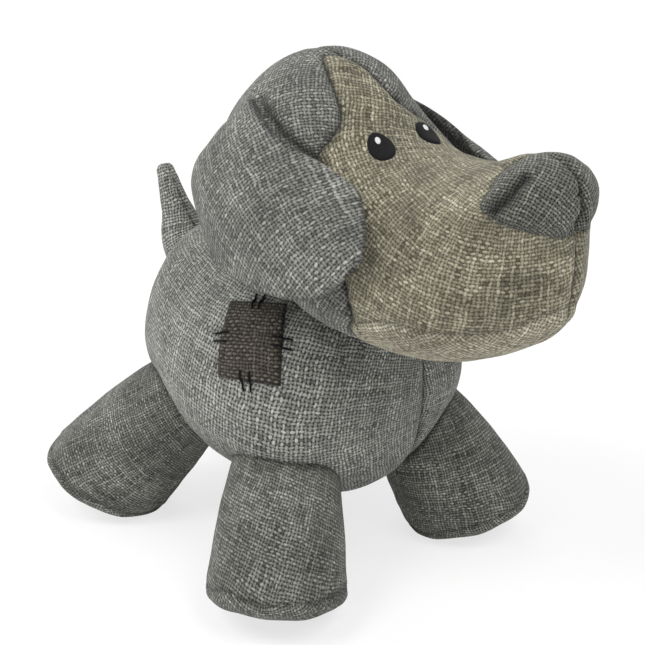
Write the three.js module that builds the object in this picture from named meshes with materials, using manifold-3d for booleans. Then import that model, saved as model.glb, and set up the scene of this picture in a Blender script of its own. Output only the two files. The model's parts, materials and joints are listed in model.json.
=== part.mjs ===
// A stuffed plush puppy made as a dog's squeaky toy: sewn fabric covers over stuffing, squeaker in the belly.
// Millimetres, +Z up, +X is where the puppy looks, +Y is its left. The feet stand on z = 0.
import * as THREE from "three";
import { mergeVertices } from "three/addons/utils/BufferGeometryUtils.js";
import Module from "manifold-3d";

const wasm = await Module();
wasm.setup();

// Fabric and clearances
const FABRIC = 1.2;
const GAP = 0.3;
const DEGREE = Math.PI / 180;

// Body outline, from rump to chest: X, top, bottom, half width
const BODY_OUTLINE = [
  [-58, 76, 76, 0],
  [-56, 102, 53, 23],
  [-47, 112, 38, 35],
  [-24, 113, 29, 44],
  [4, 110, 26, 50],
  [29, 104, 28, 48],
  [43, 90, 41, 34],
  [48, 67, 67, 0],
];
const BODY_WIDEST = 0.46;
const BODY_SIDES = 20;
const BODY_ROWS = 12;

// Head outline, from nape to nose: X, top, bottom, half width
const HEAD_OUTLINE = [
  [-28, 135, 135, 0],
  [-25, 149, 120, 14],
  [-15, 164, 107, 27],
  [4, 177, 99, 38],
  [25, 176, 95, 42],
  [47, 157, 92, 41],
  [69, 152, 91, 39],
  [90, 154, 96, 34],
  [104, 154, 101, 23],
  [111, 150, 106, 13],
  [115, 143, 113, 5],
  [116, 129, 129, 0],
];
const HEAD_WIDEST = 0.42;
const HEAD_SIDES = 18;
const HEAD_ROWS = 15;

// Seam between the grey side panels and the beige face, seen from the side: X and height, crown to throat
const FACE_SEAM = [
  [10, 185],
  [17, 177],
  [36, 163],
  [38, 153],
  [48, 140],
  [60, 123],
  [63, 110],
  [58, 102],
  [58, 85],
];
// Seam between the face and the chin panel, seen from the side: X and height, throat to front
const CHIN_SEAM = [
  [50, 101],
  [62, 106],
  [77, 111],
  [100, 111],
  [112, 116],
  [125, 124],
];
// The centre seam under the nose is open by this much at the front of the face
const FRONT_SEAM_DEPTH = 12;

// Neck: a stuffed ball between head and body, and the nod of the head on it
const NECK_LEAN = 12 * DEGREE;
const NECK_RADIUS = 24;
const NECK_OUT = 5;
const NOD = 8 * DEGREE;

// Nose: a padded cap over the top front of the muzzle
const NOSE_BEHIND_FRONT = 12;
const NOSE_BELOW_TOP = 6;
const NOSE_HALF_LENGTH = 13;
const NOSE_HALF_WIDTH = 21;
const NOSE_HALF_HEIGHT = 13;
const NOSE_SIDES = 16;
const NOSE_ROWS = 8;

// Eyes: embroidered ovals with a small glint
const EYE_X = 50;
const EYE_Y = 10.5;
const EYE_LENGTH = 10;
const EYE_WIDTH = 8.4;
const EYE_THICKNESS = 1;
const GLINT_WIDTH = 2.4;
const GLINT_THICKNESS = 0.5;
const GLINT_OFFSET = 1.8;
const OVAL_SIDES = 12;
const OVAL_REACH = 20;

// Ears: floppy flaps. Three ribs run from the root seam to the hem, each point given by its X, its height
// and how far it stands off the side of the head
const EAR_RIBS = {
  back: [[10, 166, 0], [-3, 153, 2], [-8, 139, 8], [8, 118, 10]],
  middle: [[26, 159, 0], [25, 151, 4], [30, 137, 10], [42, 115, 11]],
  front: [[41, 151, 0], [57, 146, 2], [72, 137, 5], [69, 126, 8]],
};
const EAR_LIFT = 40 * DEGREE;
const EAR_LIFT_STEPS = 6;
const EAR_BATTING = 2.2;
const EAR_EDGE = 0.5;
const EAR_HALF = EAR_EDGE + GAP + FABRIC;
const EAR_ROWS = 7;
const EAR_COLUMNS = 6;

// Legs: a ball at the root, a sleeve that widens to the foot, and a domed sole
const LEG_RADIUS = 18;
const FOOT_RADIUS = 23.5;
const LEG_IN = 9;
const LEG_SWING = 15 * DEGREE;
const FOOT_EDGE = 5;
const SOLE_DOME = 5;
const SOLE_LEVEL = 0.3;
const FOOT_FLAT = 0.5;
const LEG_SWELL = 0.8;
const LEG_SIDES = 12;
const SOLE_STEPS = 3;
const SOLE_ROUNDNESS = 0.75;
const SLEEVE_STEPS = 2;
const SLEEVE_BALL_STEPS = 3;
const SLEEVE_FLARE = 9 * DEGREE;
const SOCKET_DEPTH = 30;
const FRONT_LEG_HEIGHT = 46;
const REAR_LEG_HEIGHT = 50;
const LEGS = [
  { name: "front", turn: 52 * DEGREE, rootHeight: FRONT_LEG_HEIGHT, splay: 30 * DEGREE },
  { name: "rear", turn: 145 * DEGREE, rootHeight: REAR_LEG_HEIGHT, splay: 43 * DEGREE },
];

// Tail: a short tapered point
const TAIL_ROOT_HEIGHT = 101;
const TAIL_RADIUS = 8;
const TAIL_TIP_RADIUS = 3.6;
const TAIL_LENGTH = 24;
const TAIL_OUT = 3;
const TAIL_LEAN = 36 * DEGREE;
const TAIL_SIDES = 8;
const TAIL_STEPS = 6;

// Flank patch and the hand stitches that hold it
const PATCH_X = 18;
const PATCH_Z = 90;
const PATCH_TURN = 21 * DEGREE;
const PATCH_WIDTH = 20;
const PATCH_HEIGHT = 26;
const PATCH_THICKNESS = 1;
const STITCH_LENGTH = 5.5;
const STITCH_WIDTH = 0.9;
const STITCH_HEIGHT = 0.7;
const STITCH_SPACING = 2.8;
const PATCH_REACH = 15;

// Squeaker: a blow-moulded bulb with a whistle in its base
const SQUEAKER_Z = 58;
const SQUEAKER_RADIUS = 19;
const SQUEAKER_WALL = 1.2;
const BASE_PLATE = 1.2;
const BASE_HEIGHT = 3;
const BELLOWS_HEIGHT = 10;
const BELLOWS_BULGE = 2;
const CROWN_HEIGHT = 7;
const WHISTLE_RADIUS = 5;
const WHISTLE_BORE = 3.4;
const WHISTLE_LENGTH = 8;
const WHISTLE_FLANGE = 1.6;
const WHISTLE_FLANGE_RADIUS = 7;
const REED_BAR = 1.6;
const REED_WIDTH = 3;
const REED_THICKNESS = 0.4;
const REED_LENGTH = 5;
const SQUEAKER_SIDES = 14;
const CROWN_STEPS = 3;

const BALL_SIDES = 14;
const BALL_ROWS = 8;
const FAR = 400;

const fabric = (color) => new THREE.MeshStandardMaterial({ color, roughness: 0.95, metalness: 0 });
const GREY_LINEN = fabric("#8a8a87");
const DARK_LINEN = fabric("#6f6f6d");
const BEIGE_LINEN = fabric("#a99d82");
const PATCH_CLOTH = fabric("#3f3733");
const BLACK_THREAD = fabric("#15151a");
const PALE_THREAD = fabric("#d9dad6");
const STUFFING = fabric("#ecebe6");
const SQUEAKER_PLASTIC = new THREE.MeshStandardMaterial({ color: "#e6e9ea", roughness: 0.4, metalness: 0 });

const vector = (x, y, z) => new THREE.Vector3(x, y, z);

// The geometry with shared vertices merged and collapsed triangles left out
function welded(geometry) {
  const bare = geometry.clone();
  bare.deleteAttribute("normal");
  bare.deleteAttribute("uv");
  const merged = mergeVertices(bare, 1e-3);
  const { array } = merged.index;
  const kept = [];
  for (let i = 0; i < array.length; i += 3) {
    const [a, b, c] = array.slice(i, i + 3);
    if (a !== b && b !== c && c !== a) kept.push(a, b, c);
  }
  merged.setIndex(kept);
  return merged;
}

// A closed solid from a geometry, and a geometry from a solid
function solidOf(geometry) {
  const merged = welded(geometry);
  const vertProperties = new Float32Array(merged.attributes.position.array);
  const triVerts = new Uint32Array(merged.index.array);
  return new wasm.Manifold(new wasm.Mesh({ numProp: 3, vertProperties, triVerts }));
}

function geometryOf(solid) {
  const mesh = solid.getMesh();
  const geometry = new THREE.BufferGeometry();
  geometry.setAttribute("position", new THREE.BufferAttribute(new Float32Array(mesh.vertProperties), 3));
  geometry.setIndex(new THREE.BufferAttribute(new Uint32Array(mesh.triVerts), 1));
  return geometry;
}

const union = (...solids) => solids.reduce((sum, next) => sum.add(next));
const cut = (solid, ...cutters) => cutters.reduce((rest, next) => rest.subtract(next), solid);

// A closed surface from pole to pole: point(row from 0 to 1, turn round the axis)
function closedForm(point, sides, rows) {
  const geometry = new THREE.SphereGeometry(1, sides, rows);
  const { position, uv } = geometry.attributes;
  for (let i = 0; i < position.count; i++) {
    const place = point(THREE.MathUtils.clamp(1 - uv.getY(i), 0, 1), 2 * Math.PI * uv.getX(i));
    position.setXYZ(i, place.x, place.y, place.z);
  }
  return welded(geometry);
}

// A stuffed form along X whose oval sections pass through an outline's tops, bottoms and half widths
function loft(outline, widest, sides, rows) {
  const heights = outline.map(([x, top, bottom]) => vector(x, top, bottom));
  const widths = outline.map(([x, , , half]) => vector(x, half, 0));
  const heightCurve = new THREE.CatmullRomCurve3(heights, false, "catmullrom", 0.5);
  const widthCurve = new THREE.CatmullRomCurve3(widths, false, "catmullrom", 0.5);
  return closedForm((row, turn) => {
    const { x, y: top, z: bottom } = heightCurve.getPoint(row);
    const half = Math.max(widthCurve.getPoint(row).y, 0);
    const middle = bottom + widest * (top - bottom);
    const reach = Math.cos(turn) > 0 ? top - middle : middle - bottom;
    return vector(x, half * Math.sin(turn), middle + reach * Math.cos(turn));
  }, sides, rows);
}

// The form moved inwards along its normals by a depth, or outwards where the depth is negative
function inset(form, depth) {
  const moved = form.clone();
  moved.computeVertexNormals();
  const { position, normal } = moved.attributes;
  for (let i = 0; i < position.count; i++) {
    position.setXYZ(
      i,
      position.getX(i) - depth * normal.getX(i),
      position.getY(i) - depth * normal.getY(i),
      position.getZ(i) - depth * normal.getZ(i),
    );
  }
  return moved;
}

// The layer of a form between two heights above its surface
const layer = (form, low, high) => cut(solidOf(inset(form, -high)), solidOf(inset(form, -low)));

function ball(centre, radius, phase = 0) {
  const geometry = new THREE.SphereGeometry(radius, BALL_SIDES, BALL_ROWS, phase);
  geometry.translate(centre.x, centre.y, centre.z);
  return solidOf(geometry);
}

// A hollow whose flats clear a ball of the given radius however it turns
function ballRoom(centre, radius) {
  const flats = Math.cos(Math.PI / BALL_SIDES) * Math.cos(Math.PI / (2 * BALL_ROWS));
  return ball(centre, (radius + GAP) / flats, Math.PI / BALL_SIDES);
}

function block(low, high, matrix = new THREE.Matrix4()) {
  const size = high.clone().sub(low);
  const middle = high.clone().add(low).multiplyScalar(0.5);
  const geometry = new THREE.BoxGeometry(size.x, size.y, size.z);
  geometry.translate(middle.x, middle.y, middle.z);
  geometry.applyMatrix4(matrix);
  return solidOf(geometry);
}

// One side of the seam down the middle: -1 is the puppy's right, +1 its left
const sideBlock = (side) =>
  side < 0
    ? block(vector(-FAR, -FAR, -FAR), vector(FAR, -GAP / 2, FAR))
    : block(vector(-FAR, GAP / 2, -FAR), vector(FAR, FAR, FAR));

// A solid through the whole width, from an outline seen from the side
function sidePrism(points) {
  const shape = new THREE.Shape(points.map(([x, z]) => new THREE.Vector2(x, z)));
  const geometry = new THREE.ExtrudeGeometry(shape, { depth: 2 * FAR, bevelEnabled: false });
  geometry.translate(0, 0, -FAR);
  geometry.rotateX(Math.PI / 2);
  return solidOf(geometry);
}

// The first point where a ray meets a form, with the surface's normal there
function surfacePoint(form, origin, direction) {
  const mesh = new THREE.Mesh(form, new THREE.MeshBasicMaterial({ side: THREE.DoubleSide }));
  const [hit] = new THREE.Raycaster(origin, direction.clone().normalize()).intersectObject(mesh);
  return { point: hit.point, normal: hit.face.normal.clone() };
}

const toy = new THREE.Group();

// A group that turns about a point of its parent; its pieces are given in the toy's frame
function jointGroup(parent, pivot) {
  const group = new THREE.Group();
  group.userData.pivot = pivot;
  group.position.copy(pivot).sub(parent.userData.pivot ?? vector(0, 0, 0));
  parent.add(group);
  return group;
}

function addPiece(parent, name, shape, material) {
  const geometry = shape.isBufferGeometry ? welded(shape) : geometryOf(shape);
  const pivot = parent.userData.pivot;
  if (pivot) geometry.translate(-pivot.x, -pivot.y, -pivot.z);
  const mesh = new THREE.Mesh(geometry, material);
  mesh.name = name;
  parent.add(mesh);
}

function mirrored(geometry) {
  const copy = geometry.clone();
  copy.scale(1, -1, 1);
  const { array } = copy.index;
  for (let i = 0; i < array.length; i += 3) [array[i], array[i + 1]] = [array[i + 1], array[i]];
  return copy;
}

const bodyForm = loft(BODY_OUTLINE, BODY_WIDEST, BODY_SIDES, BODY_ROWS);
const headForm = loft(HEAD_OUTLINE, HEAD_WIDEST, HEAD_SIDES, HEAD_ROWS);
const bodyMiddle = vector(0, 0, (BODY_OUTLINE[0][1] + BODY_OUTLINE[BODY_OUTLINE.length - 1][1]) / 2);

// Where each limb's ball sits on the body
const neckRoot = surfacePoint(bodyForm, bodyMiddle, vector(Math.sin(NECK_LEAN), 0, Math.cos(NECK_LEAN)));
const neck = neckRoot.point.clone().addScaledVector(neckRoot.normal, NECK_OUT).setY(0);
const tailRoot = surfacePoint(bodyForm, vector(-FAR, 0, TAIL_ROOT_HEIGHT), vector(1, 0, 0));
const tail = tailRoot.point.clone().addScaledVector(tailRoot.normal, TAIL_OUT).setY(0);

function legBall(leg, side) {
  const inwards = vector(-Math.cos(leg.turn), -side * Math.sin(leg.turn), 0);
  const origin = inwards.clone().multiplyScalar(-FAR).setZ(leg.rootHeight);
  return surfacePoint(bodyForm, origin, inwards).point.addScaledVector(inwards, LEG_IN);
}

// The room that a leg needs in the body as it swings: a ball that opens into a flared mouth
function legSocket(leg, side) {
  const flare = LEG_SWING + SLEEVE_FLARE;
  const step = (Math.PI / 2 - flare) / SLEEVE_BALL_STEPS;
  const halfSide = Math.PI / LEG_SIDES;
  const reach = (LEG_RADIUS + GAP) / Math.cos(step / 2) / Math.cos(halfSide);
  const points = [new THREE.Vector2(0, -SOCKET_DEPTH)];
  points.push(new THREE.Vector2(reach / Math.cos(flare) + SOCKET_DEPTH * Math.tan(flare), -SOCKET_DEPTH));
  for (let k = 0; k <= SLEEVE_BALL_STEPS; k++) {
    const angle = flare + k * step;
    points.push(new THREE.Vector2(k === SLEEVE_BALL_STEPS ? 0 : reach * Math.cos(angle), reach * Math.sin(angle)));
  }
  return solidOf(new THREE.LatheGeometry(points, LEG_SIDES, halfSide).applyMatrix4(legMatrix(leg, side)));
}

// Body: two panels, the stuffing in two halves round the squeaker's pocket
function buildBody() {
  const sockets = [ballRoom(neck, NECK_RADIUS), ballRoom(tail, TAIL_RADIUS)];
  for (const leg of LEGS) {
    for (const side of [-1, 1]) sockets.push(legSocket(leg, side));
  }
  const cover = cut(layer(bodyForm, -FABRIC, 0), ...sockets);
  addPiece(toy, "body_panel_right", cover.intersect(sideBlock(-1)), GREY_LINEN);
  addPiece(toy, "body_panel_left", cover.intersect(sideBlock(1)), GREY_LINEN);

  const stuffing = cut(solidOf(inset(bodyForm, FABRIC + GAP)), ...sockets, squeakerPocket());
  const parting = SQUEAKER_Z + BASE_HEIGHT;
  const above = block(vector(-FAR, -FAR, parting + GAP / 2), vector(FAR, FAR, FAR));
  const below = block(vector(-FAR, -FAR, -FAR), vector(FAR, FAR, parting - GAP / 2));
  addPiece(toy, "body_stuffing_upper", stuffing.intersect(above), STUFFING);
  addPiece(toy, "body_stuffing_lower", stuffing.intersect(below), STUFFING);
}

// A turned piece of the squeaker from its profile: radius and height above the squeaker's foot
function turnedSqueaker(profile) {
  const points = profile.map(([radius, height]) => new THREE.Vector2(radius, height));
  const geometry = new THREE.LatheGeometry(points, SQUEAKER_SIDES);
  geometry.rotateX(Math.PI / 2);
  geometry.translate(0, 0, SQUEAKER_Z);
  return geometry;
}

const bellowsFoot = BASE_HEIGHT + GAP;
const crownFoot = bellowsFoot + BELLOWS_HEIGHT + GAP;

function squeakerPocket() {
  const radius = SQUEAKER_RADIUS + BELLOWS_BULGE + GAP;
  const low = -WHISTLE_FLANGE - 2 * GAP;
  const high = crownFoot + CROWN_HEIGHT + GAP;
  return solidOf(turnedSqueaker([[0, low], [radius, low], [radius, high], [0, high]]));
}

function buildSqueaker() {
  const outer = SQUEAKER_RADIUS;
  const inner = SQUEAKER_RADIUS - SQUEAKER_WALL;
  const hole = WHISTLE_RADIUS + GAP;
  const base = [[hole, 0], [outer, 0], [outer, BASE_HEIGHT], [inner, BASE_HEIGHT], [inner, BASE_PLATE]];
  base.push([hole, BASE_PLATE], [hole, 0]);
  addPiece(toy, "squeaker_base", turnedSqueaker(base), SQUEAKER_PLASTIC);

  const fold = bellowsFoot + BELLOWS_HEIGHT / 2;
  const top = bellowsFoot + BELLOWS_HEIGHT;
  const wall = [[inner, bellowsFoot], [outer, bellowsFoot], [outer + BELLOWS_BULGE, fold], [outer, top]];
  wall.push([inner, top], [inner + BELLOWS_BULGE, fold], [inner, bellowsFoot]);
  addPiece(toy, "squeaker_bellows", turnedSqueaker(wall), SQUEAKER_PLASTIC);

  const dome = (radius, height) => {
    const points = [];
    for (let k = 0; k <= CROWN_STEPS; k++) {
      const angle = (k / CROWN_STEPS) * (Math.PI / 2);
      const reach = k === CROWN_STEPS ? 0 : radius * Math.cos(angle);
      points.push([reach, crownFoot + height * Math.sin(angle)]);
    }
    return points;
  };
  const crown = [...dome(inner, CROWN_HEIGHT - SQUEAKER_WALL).reverse(), ...dome(outer, CROWN_HEIGHT)];
  addPiece(toy, "squeaker_crown", turnedSqueaker(crown), SQUEAKER_PLASTIC);

  const flangeTop = -GAP;
  const flangeFoot = flangeTop - WHISTLE_FLANGE;
  const tube = [[WHISTLE_BORE, flangeFoot], [WHISTLE_FLANGE_RADIUS, flangeFoot]];
  tube.push([WHISTLE_FLANGE_RADIUS, flangeTop], [WHISTLE_RADIUS, flangeTop], [WHISTLE_RADIUS, WHISTLE_LENGTH]);
  tube.push([WHISTLE_BORE, WHISTLE_LENGTH], [WHISTLE_BORE, flangeFoot]);
  const barReach = (WHISTLE_BORE + WHISTLE_RADIUS) / 2;
  const barTop = SQUEAKER_Z + REED_BAR;
  const bar = block(vector(-REED_BAR / 2, -barReach, SQUEAKER_Z), vector(REED_BAR / 2, barReach, barTop));
  addPiece(toy, "squeaker_whistle", union(solidOf(turnedSqueaker(tube)), bar), SQUEAKER_PLASTIC);

  const reed = new THREE.BoxGeometry(REED_THICKNESS, REED_WIDTH, REED_LENGTH);
  reed.translate(0, 0, barTop + GAP + REED_LENGTH / 2);
  addPiece(toy, "squeaker_reed", reed, SQUEAKER_PLASTIC);
}

// Patch: a woven rectangle on the right flank, with a pair of hand stitches over the middle of each edge
function buildPatch() {
  const { point, normal } = surfacePoint(bodyForm, vector(PATCH_X, -FAR, PATCH_Z), vector(0, 1, 0));
  const forward = vector(1, 0, 0).addScaledVector(normal, -normal.x).normalize();
  forward.applyAxisAngle(normal, PATCH_TURN);
  const matrix = new THREE.Matrix4().makeBasis(forward, normal.clone().cross(forward), normal).setPosition(point);
  const prism = (x, y, width, height) => {
    const low = vector(x - width / 2, y - height / 2, -PATCH_REACH);
    return block(low, vector(x + width / 2, y + height / 2, PATCH_REACH), matrix);
  };
  const patchTop = GAP + PATCH_THICKNESS;
  const patch = prism(0, 0, PATCH_WIDTH, PATCH_HEIGHT);
  addPiece(toy, "flank_patch", layer(bodyForm, GAP, patchTop).intersect(patch), PATCH_CLOTH);

  const room = layer(bodyForm, 0, patchTop + GAP).intersect(
    prism(0, 0, PATCH_WIDTH + 2 * GAP, PATCH_HEIGHT + 2 * GAP),
  );
  const thread = cut(layer(bodyForm, GAP, patchTop + GAP + STITCH_HEIGHT), room);
  let number = 1;
  for (const [x, y] of [[0, 1], [-1, 0], [1, 0], [0, -1]]) {
    for (const side of [-1, 1]) {
      const shift = (side * STITCH_SPACING) / 2;
      const upright = y !== 0;
      const middleX = (x * PATCH_WIDTH) / 2 + (upright ? shift : 0);
      const middleY = (y * PATCH_HEIGHT) / 2 + (upright ? 0 : shift);
      const width = upright ? STITCH_WIDTH : STITCH_LENGTH;
      const height = upright ? STITCH_LENGTH : STITCH_WIDTH;
      const stitch = thread.intersect(prism(middleX, middleY, width, height));
      addPiece(toy, `patch_stitch_${number}`, stitch, BLACK_THREAD);
      number += 1;
    }
  }
}

// A leg's profile from the sole's middle up to the ball's top, moved in by a depth: radius and height
function soleProfile(length, depth) {
  const points = [];
  for (let k = 0; k <= SOLE_STEPS; k++) {
    const angle = (k / SOLE_STEPS) * (Math.PI / 2);
    const radius = (FOOT_RADIUS - depth) * Math.sin(angle) ** SOLE_ROUNDNESS;
    const height = (FOOT_EDGE + SOLE_DOME - depth) * Math.cos(angle) ** SOLE_ROUNDNESS;
    points.push(new THREE.Vector2(k === 0 ? 0 : radius, FOOT_EDGE - length - (k === SOLE_STEPS ? 0 : height)));
  }
  return points;
}

function sleeveProfile(length, depth) {
  const points = [];
  const seam = FOOT_EDGE - length + GAP;
  for (let k = 0; k < SLEEVE_STEPS; k++) {
    const share = k / SLEEVE_STEPS;
    const swell = LEG_SWELL * Math.sin(Math.PI * share);
    const radius = THREE.MathUtils.lerp(FOOT_RADIUS, LEG_RADIUS, share) + swell - depth;
    points.push(new THREE.Vector2(radius, seam * (1 - share)));
  }
  for (let k = 0; k <= SLEEVE_BALL_STEPS; k++) {
    const angle = (k / SLEEVE_BALL_STEPS) * (Math.PI / 2);
    const reach = LEG_RADIUS - depth;
    points.push(new THREE.Vector2(k === SLEEVE_BALL_STEPS ? 0 : reach * Math.cos(angle), reach * Math.sin(angle)));
  }
  return points;
}

// A turned leg piece, its sole tilted part of the way towards the floor
function turnedLeg(profile, length, splay) {
  const geometry = welded(new THREE.LatheGeometry(profile, LEG_SIDES));
  const { position } = geometry.attributes;
  const tilt = SOLE_LEVEL * Math.tan(splay);
  for (let i = 0; i < position.count; i++) {
    const share = THREE.MathUtils.clamp(-position.getY(i) / length, 0, 1);
    position.setY(i, position.getY(i) - tilt * position.getZ(i) * share * share);
  }
  return geometry;
}

// Where a leg stands: its ball's centre, with local Y up the leg and local Z outwards
function legMatrix(leg, side) {
  const outwards = vector(Math.cos(leg.turn), side * Math.sin(leg.turn), 0);
  const upLeg = outwards.clone().multiplyScalar(-Math.sin(leg.splay)).setZ(Math.cos(leg.splay));
  const acrossOut = outwards.clone().multiplyScalar(Math.cos(leg.splay)).setZ(Math.sin(leg.splay));
  const matrix = new THREE.Matrix4().makeBasis(upLeg.clone().cross(acrossOut), upLeg, acrossOut);
  return matrix.setPosition(legBall(leg, side));
}

// The length at which the sole reaches just below the floor, where it is cut flat
function legLength(leg, matrix) {
  let length = LEG_RADIUS + FOOT_EDGE;
  for (let round = 0; round < 6; round++) {
    const sole = turnedLeg(soleProfile(length, 0), length, leg.splay).applyMatrix4(matrix);
    sole.computeBoundingBox();
    length += (sole.boundingBox.min.z + FOOT_FLAT) / Math.cos(leg.splay);
  }
  return length;
}

function buildLeg(leg, side) {
  const matrix = legMatrix(leg, side);
  const length = legLength(leg, matrix);
  const group = new THREE.Group();
  matrix.decompose(group.position, group.quaternion, group.scale);
  toy.add(group);
  const name = `${leg.name}_${side < 0 ? "right" : "left"}_leg`;
  const turned = (profile) => turnedLeg(profile, length, leg.splay);
  const sleeve = [...sleeveProfile(length, FABRIC).reverse(), ...sleeveProfile(length, 0)];
  const sole = [...soleProfile(length, 0), ...soleProfile(length, FABRIC).reverse()];
  const stuffing = [...soleProfile(length, FABRIC + GAP), ...sleeveProfile(length, FABRIC + GAP)];
  const floor = block(vector(-FAR, -FAR, -FAR), vector(FAR, FAR, 0), matrix.clone().invert());
  addPiece(group, `${name}_sleeve`, turned(sleeve), DARK_LINEN);
  addPiece(group, `${name}_sole`, cut(solidOf(turned(sole)), floor), DARK_LINEN);
  addPiece(group, `${name}_stuffing`, turned(stuffing), STUFFING);
}

// Tail: two panels over stuffing, a ball at the root and a tapered point
function buildTail() {
  const turned = (depth) => {
    const points = [];
    for (let k = 0; k <= TAIL_STEPS; k++) {
      const angle = ((k / TAIL_STEPS) * 2 - 1) * (Math.PI / 2);
      const reach = (angle < 0 ? TAIL_RADIUS : TAIL_TIP_RADIUS) - depth;
      const height = (angle < 0 ? 0 : TAIL_LENGTH) + reach * Math.sin(angle);
      if (angle === 0) points.push(new THREE.Vector2(TAIL_RADIUS - depth, 0));
      points.push(new THREE.Vector2(k % TAIL_STEPS === 0 ? 0 : reach * Math.cos(angle), height));
    }
    const geometry = new THREE.LatheGeometry(points, TAIL_SIDES);
    geometry.rotateY(Math.PI / TAIL_SIDES);
    geometry.rotateY(Math.PI / 2);
    geometry.rotateX(Math.PI / 2);
    geometry.rotateY(-TAIL_LEAN);
    geometry.translate(tail.x, tail.y, tail.z);
    return solidOf(geometry);
  };
  const group = jointGroup(toy, tail);
  const cover = cut(turned(0), turned(FABRIC));
  addPiece(group, "tail_panel_right", cover.intersect(sideBlock(-1)), GREY_LINEN);
  addPiece(group, "tail_panel_left", cover.intersect(sideBlock(1)), GREY_LINEN);
  addPiece(group, "tail_stuffing", turned(FABRIC + GAP), STUFFING);
}

// Head: grey side panels, face, chin, nose, eyes and stuffing on the neck's ball
function sweptBody(clearance) {
  const swept = [-NOD, 0, NOD].map((angle) => {
    const form = inset(bodyForm, -clearance);
    form.translate(-neck.x, 0, -neck.z);
    form.rotateY(angle);
    form.translate(neck.x, 0, neck.z);
    return solidOf(form);
  });
  return union(...swept);
}

function headSolid(depth) {
  const hull = cut(solidOf(inset(headForm, depth)), sweptBody(GAP + depth));
  return union(hull, ball(neck, NECK_RADIUS - depth));
}

// What lies before or behind the face seam, and below or above the chin seam
const beforeSeam = (shift) => [[FAR, -FAR], [FAR, FAR], ...FACE_SEAM.map(([x, z]) => [x + shift, z])];
const belowSeam = (shift) => {
  const seam = CHIN_SEAM.map(([x, z]) => [x, z + shift]);
  return [...seam, [FAR, seam[seam.length - 1][1]], [FAR, -FAR], [seam[0][0], -FAR]];
};

function buildHeadCover(group) {
  const cover = cut(headSolid(0), headSolid(FABRIC));
  const face = cover.intersect(sidePrism(beforeSeam(GAP / 2)));
  const sides = cut(cover, sidePrism(beforeSeam(-GAP / 2)));
  const nose = noseCentre();
  const front = HEAD_OUTLINE[HEAD_OUTLINE.length - 1][0];
  const slit = block(vector(front - FRONT_SEAM_DEPTH, -GAP / 2, -FAR), vector(FAR, GAP / 2, nose.z));
  addPiece(group, "head_panel_right", sides.intersect(sideBlock(-1)), GREY_LINEN);
  addPiece(group, "head_panel_left", sides.intersect(sideBlock(1)), GREY_LINEN);
  addPiece(group, "face_panel", cut(face, sidePrism(belowSeam(GAP / 2)), slit), BEIGE_LINEN);
  addPiece(group, "chin_panel", face.intersect(sidePrism(belowSeam(-GAP / 2))), BEIGE_LINEN);
  addPiece(group, "head_stuffing", headSolid(FABRIC + GAP), STUFFING);
}

function noseCentre() {
  const front = HEAD_OUTLINE[HEAD_OUTLINE.length - 1][0];
  const x = front - NOSE_BEHIND_FRONT;
  const top = surfacePoint(headForm, vector(x, 0.01, FAR), vector(0, 0, -1)).point.z;
  return vector(x, 0, top - NOSE_BELOW_TOP);
}

function buildNose(group) {
  const geometry = new THREE.SphereGeometry(1, NOSE_SIDES, NOSE_ROWS);
  geometry.rotateX(Math.PI / 2);
  geometry.scale(NOSE_HALF_LENGTH, NOSE_HALF_WIDTH, NOSE_HALF_HEIGHT);
  const centre = noseCentre();
  geometry.translate(centre.x, centre.y, centre.z);
  addPiece(group, "nose_pad", cut(solidOf(geometry), solidOf(inset(headForm, -GAP))), DARK_LINEN);
}

// An upright oval prism through a surface point; its length runs along the surface towards the front
function ovalPrism({ point, normal }, length, width, along) {
  const forward = vector(1, 0, 0).addScaledVector(normal, -normal.x).normalize();
  const across = normal.clone().cross(forward);
  const geometry = new THREE.CylinderGeometry(0.5, 0.5, OVAL_REACH, OVAL_SIDES);
  geometry.scale(length, 1, width);
  const matrix = new THREE.Matrix4().makeBasis(forward, normal, across.negate());
  matrix.setPosition(point.clone().addScaledVector(forward, along));
  return solidOf(geometry.applyMatrix4(matrix));
}

function buildEyes(group) {
  const seat = surfacePoint(headForm, vector(EYE_X, -EYE_Y, FAR), vector(0, 0, -1));
  const eyeTop = GAP + EYE_THICKNESS;
  const glintLow = eyeTop + GAP;
  const eye = layer(headForm, GAP, eyeTop).intersect(ovalPrism(seat, EYE_LENGTH, EYE_WIDTH, 0));
  const glintPrism = ovalPrism(seat, GLINT_WIDTH, GLINT_WIDTH, -GLINT_OFFSET);
  const glint = layer(headForm, glintLow, glintLow + GLINT_THICKNESS).intersect(glintPrism);
  addPiece(group, "eye_right", eye, BLACK_THREAD);
  addPiece(group, "eye_left", mirrored(geometryOf(eye)), BLACK_THREAD);
  addPiece(group, "eye_glint_right", glint, PALE_THREAD);
  addPiece(group, "eye_glint_left", mirrored(geometryOf(glint)), PALE_THREAD);
}

// Ears: a middle surface through three ribs, an outer and an inner panel with batting between them
function earRib(points) {
  const places = points.map(([x, z, standOff]) => {
    const { point } = surfacePoint(headForm, vector(x, -FAR, z), vector(0, 1, 0));
    return point.setY(point.y - standOff - EAR_HALF - GAP);
  });
  return new THREE.CatmullRomCurve3(places, false, "catmullrom", 0.5);
}

function earMiddle() {
  const ribs = [earRib(EAR_RIBS.back), earRib(EAR_RIBS.middle), earRib(EAR_RIBS.front)];
  return (row, across) => {
    const [back, middle, front] = ribs.map((rib) => rib.getPoint(row));
    const bend = back.clone().add(front).multiplyScalar(0.5).sub(middle);
    const slope = front.clone().sub(back).multiplyScalar(0.5);
    return middle.addScaledVector(slope, across).addScaledVector(bend, across * across);
  };
}

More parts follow.
